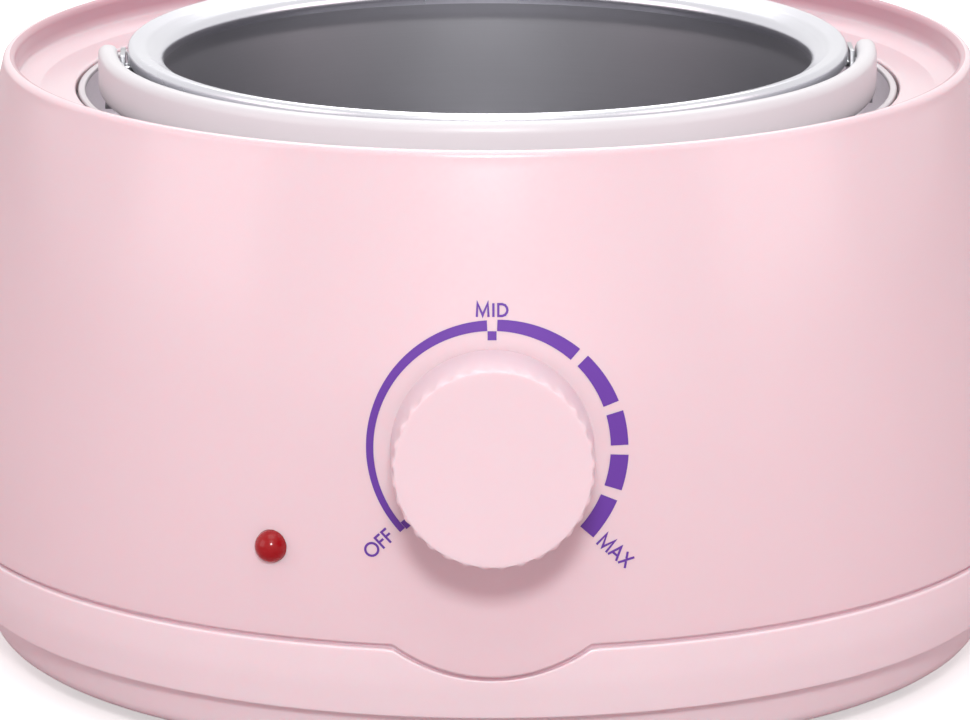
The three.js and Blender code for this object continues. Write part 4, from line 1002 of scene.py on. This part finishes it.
def strip(left, right, closed=False):
    """A closed strip of ink between two lists of flat points in millimetres."""
    start, count = len(art_points), len(left)
    for side, height in ((left, ink_under), (right, ink_under), (right, ink_over), (left, ink_over)):
        art_points.extend((x, y, height) for x, y in side)
    for lane in range(4):
        near, far = start + lane * count, start + (lane + 1) % 4 * count
        for k in range(count if closed else count - 1):
            after = (k + 1) % count
            art_faces.append((near + k, near + after, far + after, far + k))
    if not closed:
        art_faces.append(tuple(start + lane * count for lane in (3, 2, 1, 0)))
        art_faces.append(tuple(start + lane * count + count - 1 for lane in range(4)))


def pen_line(points, closed=False):
    """A line as wide as the pen, with mitred corners."""
    spots = [Vector(point) for point in points]
    left, right = [], []
    for i, spot in enumerate(spots):
        before = spot - spots[i - 1] if closed or i else spots[1] - spot
        after = spots[(i + 1) % len(spots)] - spot if closed or i + 1 < len(spots) else before
        before, after = before.normalized(), after.normalized()
        along = (before + after).normalized()
        across = Vector((-along.y, along.x))
        reach = pen_width / 2 / max(least_mitre, along.dot(before))
        left.append(spot + across * reach)
        right.append(spot - across * reach)
    strip(left, right, closed)


def on_ring(radius, degrees):
    return Vector((math.cos(math.radians(degrees)), math.sin(math.radians(degrees)))) * radius


def ring_part(start, end, width_at_start, width_at_end):
    """A part of the ring between two angles, with a step for every two degrees."""
    steps = max(3, round(abs(end - start) / 2))
    inner, outer = [], []
    for share in (k / steps for k in range(steps + 1)):
        degrees = start + (end - start) * share
        width = width_at_start + (width_at_end - width_at_start) * share
        inner.append(on_ring(ring_inside, degrees))
        outer.append(on_ring(ring_inside + width, degrees))
    strip(inner, outer)


# %% Ring, marks and words
ring_parts = [
    (222.7, 160, 1.0, 1.17),
    (160, 92.3, 1.17, 1.6),
    (87.6, 48.6, 1.7, 2.15),
    (44.1, 20.25, 2.21, 2.48),
    (15.8, 0.9, 2.65, 2.68),
    (-3.4, -18.75, 2.76, 2.76),
    (-23.4, -42, 2.7, 2.66),
]
for values in ring_parts:
    ring_part(*values)

# Letters are pen lines in a box one unit high: (width, closed, lines)
bow = [(0.36, 0.93), (0.57, 0.85), (0.7, 0.68), (0.74, 0.5), (0.7, 0.32), (0.57, 0.15), (0.36, 0.07)]
letters = {
    "M": (1.0, False, [[(0.07, 0), (0.12, 1), (0.5, 0.12), (0.88, 1), (0.93, 0)]]),
    "I": (0.14, False, [[(0.07, 0), (0.07, 1)]]),
    "D": (0.8, True, [[(0.07, 0.07), (0.07, 0.93), *bow]]),
    "O": (1.0, True, [[point[:2] for point in arc(0.5, 0.5, 0.43, 0.43, range(0, 360, 15))]]),
    "F": (0.48, False, [[(0.07, 0), (0.07, 0.93), (0.48, 0.93)], [(0.14, 0.52), (0.45, 0.52)]]),
    "A": (0.86, False, [[(0.05, 0), (0.43, 0.96), (0.81, 0)], [(0.25, 0.32), (0.61, 0.32)]]),
    "X": (0.74, False, [[(0.06, 0), (0.68, 1)], [(0.06, 1), (0.32, 0.58)], [(0.42, 0.42), (0.68, 0)]]),
}


def write(word, middle, degrees, cap_height, gap):
    """Writes a word round its middle, turned by the angle."""
    width = sum(letters[letter][0] for letter in word) + gap * (len(word) - 1)
    turn = Matrix.Rotation(math.radians(degrees), 2)
    start = -width / 2
    for letter in word:
        advance, closed, lines = letters[letter]
        for line in lines:
            spots = [turn @ Vector(((x + start) * cap_height, (y - 0.5) * cap_height)) for x, y in line]
            pen_line([spot + Vector(middle) for spot in spots], closed)
        start += advance + gap
    print(word, "is", round(width * cap_height, 2), "mm wide")


mark_size, mark_outer = 1.35, ring_inside - 0.05
for degrees in (90, 221.5):
    turn = Matrix.Rotation(math.radians(degrees), 2)
    reaches, sides = (mark_outer - mark_size, mark_outer), (mark_size / 2, -mark_size / 2)
    strip(*[[turn @ Vector((reach, side)) for reach in reaches] for side in sides])
write("MID", (0.0, 21.07), 0, 2.05, 0.22)
write("OFF", (-17.25, -14.75), 43, 2.3, 0.11)
write("MAX", (18.7, -16.0), -42, 2.2, 0.08)
artwork = flat_mesh("flat_artwork", art_points, art_faces)
print(len(art_faces), "faces of artwork")

# %% The tree that lays artwork on the wall
laying, given = new_tree(
    "laid_on_wall",
    "GeometryNodeTree",
    {
        "Artwork": GEOMETRY, "Wall Radius": 0.08, "Lean": 0.1, "Middle Height": 0.05, "Seam Radius": 0.087,
        "Seam Height": 0.022, "Swell Over Rise Squared": 1.6, "Finish": MATERIAL,
    },
    {"Piece": GEOMETRY},
)
calc = calculator(laying)
art_at = parts_of(laying, node(laying, "GeometryNodeInputPosition")[0])
sideways = calc("*", art_at["X"], art_at["X"])
radius_squared = calc("*", given["Wall Radius"], given["Wall Radius"])
back = calc("-", given["Wall Radius"], calc("SQRT", calc("-", radius_squared, sideways)))
up = calc("*", art_at["Y"], calc("COSINE", given["Lean"]))
drop = calc("*", back, calc("SINE", given["Lean"]))
height = calc("+", given["Middle Height"], calc("-", up, drop))
above_seam = calc("-", height, given["Seam Height"])
narrowing = calc("*", calc("*", above_seam, above_seam), given["Swell Over Rise Squared"])
reach = calc("+", calc("-", given["Seam Radius"], narrowing), art_at["Z"])
forward = calc("SQRT", calc("-", calc("*", reach, reach), sideways))
laid = place_at(laying, art_at["X"], calc("*", forward, -1.0), height)
bent_art = node(laying, "GeometryNodeSetPosition", {"Geometry": given["Artwork"], "Position": laid})
end_tree(laying, bent_art[0], given["Finish"])

swell_over_rise = (seam_radius - wall_radius(rim_height)) / (rim_height - seam_height) ** 2
wall_values = {
    "Wall Radius": wall_radius(dial_height) * MM,
    "Lean": wall_lean(dial_height),
    "Middle Height": dial_height * MM,
    "Seam Radius": seam_radius * MM,
    "Seam Height": seam_height * MM,
    "Swell Over Rise Squared": swell_over_rise / MM,
    "Finish": finishes["ink"],
}
scale = grown(artwork, laying, "printed_scale", wall_values, on_axis)
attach(scale, "casing")

# %% [markdown]
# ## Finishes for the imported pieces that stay
#
# The inner pieces, such as the element, the thermostat and the wires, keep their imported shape: they
# are out of sight unless the heater is taken apart. Each still gets the finish that the record
# names for it.

# %% Finishes of the inner pieces
packed = frame["record"]["subparts"]
for subpart in packed:
    piece, finish = frame["nodes"][subpart["node"]], finishes[subpart["material_slot"]]
    if not piece.data.materials:
        piece.data.materials.append(finish)
    for place_of_finish in piece.material_slots:
        place_of_finish.material = finish
print(len(packed), "packed pieces have their finish")

# %% [markdown]
# ## Floor, background and light
#
# A catalogue photograph has a white ground and soft boxes round it. The ground looks white because
# the camera, and the shiny metal, see a white world, while the light that it gives off stays low
# and is a little pink, like light that has bounced off pink plastic. This keeps the shadow under
# the knob warm. The key light in front sets that shadow. The upper, top and back lights open up the
# recess, and two weak lights at the sides keep the flanks from going dark.

# %% Floor
floor_half, floor_glow, seen_in_metal = 3000, 0.5, 0.35
floor_seen, floor_lit = (0.86, 0.86, 0.86, 1.0), (0.42, 0.31, 0.33, 1.0)


def mixed(tree, factor, first, second):
    mix = node(tree, "ShaderNodeMix", {"Factor": factor, "A": first, "B": second}, data_type="RGBA")
    return mix["Result"]


floor_material, tree, surface = new_material("white_floor")
calc = calculator(tree)
surface["Roughness"].default_value = 0.8
surface["Emission Color"].default_value = white
path = node(tree, "ShaderNodeLightPath")
by_camera = path["Is Camera Ray"]
seen_straight = calc("MAXIMUM", by_camera, calc("*", path["Is Glossy Ray"], seen_in_metal))
tree.links.new(mixed(tree, seen_straight, floor_lit, floor_seen), surface["Base Color"])
tree.links.new(calc("*", by_camera, floor_glow), surface["Emission Strength"])
floor_corners = [(x * floor_half, y * floor_half, 0) for x, y in ((-1, -1), (1, -1), (1, 1), (-1, 1))]
floor = flat_mesh("floor", floor_corners, [(0, 1, 2, 3)])
floor.data.materials.append(floor_material)
print("floor", 2 * floor_half * MM, "m wide")

# %% World and lamps
world = bpy.data.worlds.new("white_ground")
bpy.context.scene.world = world
world.use_nodes = True
tree = world.node_tree
calc = calculator(tree)
ground = tree.nodes["Background"].inputs
path = node(tree, "ShaderNodeLightPath")
seen_straight = calc("MAXIMUM", path["Is Glossy Ray"], path["Is Transmission Ray"])
seen_straight = calc("MAXIMUM", path["Is Camera Ray"], seen_straight)
fill_strength, fill_tone = 0.45, (1.0, 0.74, 0.78, 1.0)
tree.links.new(ranged(tree, seen_straight, to_low=fill_strength), ground["Strength"])
tree.links.new(mixed(tree, seen_straight, fill_tone, white), ground["Color"])

lit_point = Vector((0, 0, 0.06))
plain, pink = (1.0, 1.0, 1.0), (1.0, 0.8, 0.84)
lamps = [
    # name, azimuth, rise, distance, width, height, power, colour
    ("key_light", 0, 27, 1.7, 0.24, 0.2, 12.6, plain),
    ("upper_light", 0, 45, 1.7, 0.6, 0.5, 2.0, plain),
    ("top_light", 0, 80, 1.4, 0.9, 0.9, 3.5, plain),
    ("back_light", 180, 55, 1.5, 0.9, 0.9, 11.0, plain),
    ("left_light", -68, 20, 1.5, 0.9, 0.9, 4.0, pink),
    ("right_light", 68, 20, 1.5, 0.9, 0.9, 4.0, pink),
]
for name, azimuth, rise, distance, width, height, power, colour in lamps:
    light = bpy.data.lights.new(name, "AREA")
    light.shape, light.size, light.size_y = "RECTANGLE", width, height
    light.energy, light.color = power, colour
    stand(name, light, lit_point, azimuth, rise, distance)
print(len(lamps), "lamps")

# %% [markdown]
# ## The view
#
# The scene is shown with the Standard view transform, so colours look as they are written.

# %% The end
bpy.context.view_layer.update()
scene_settings = bpy.context.scene.view_settings
scene_settings.view_transform = "Standard"
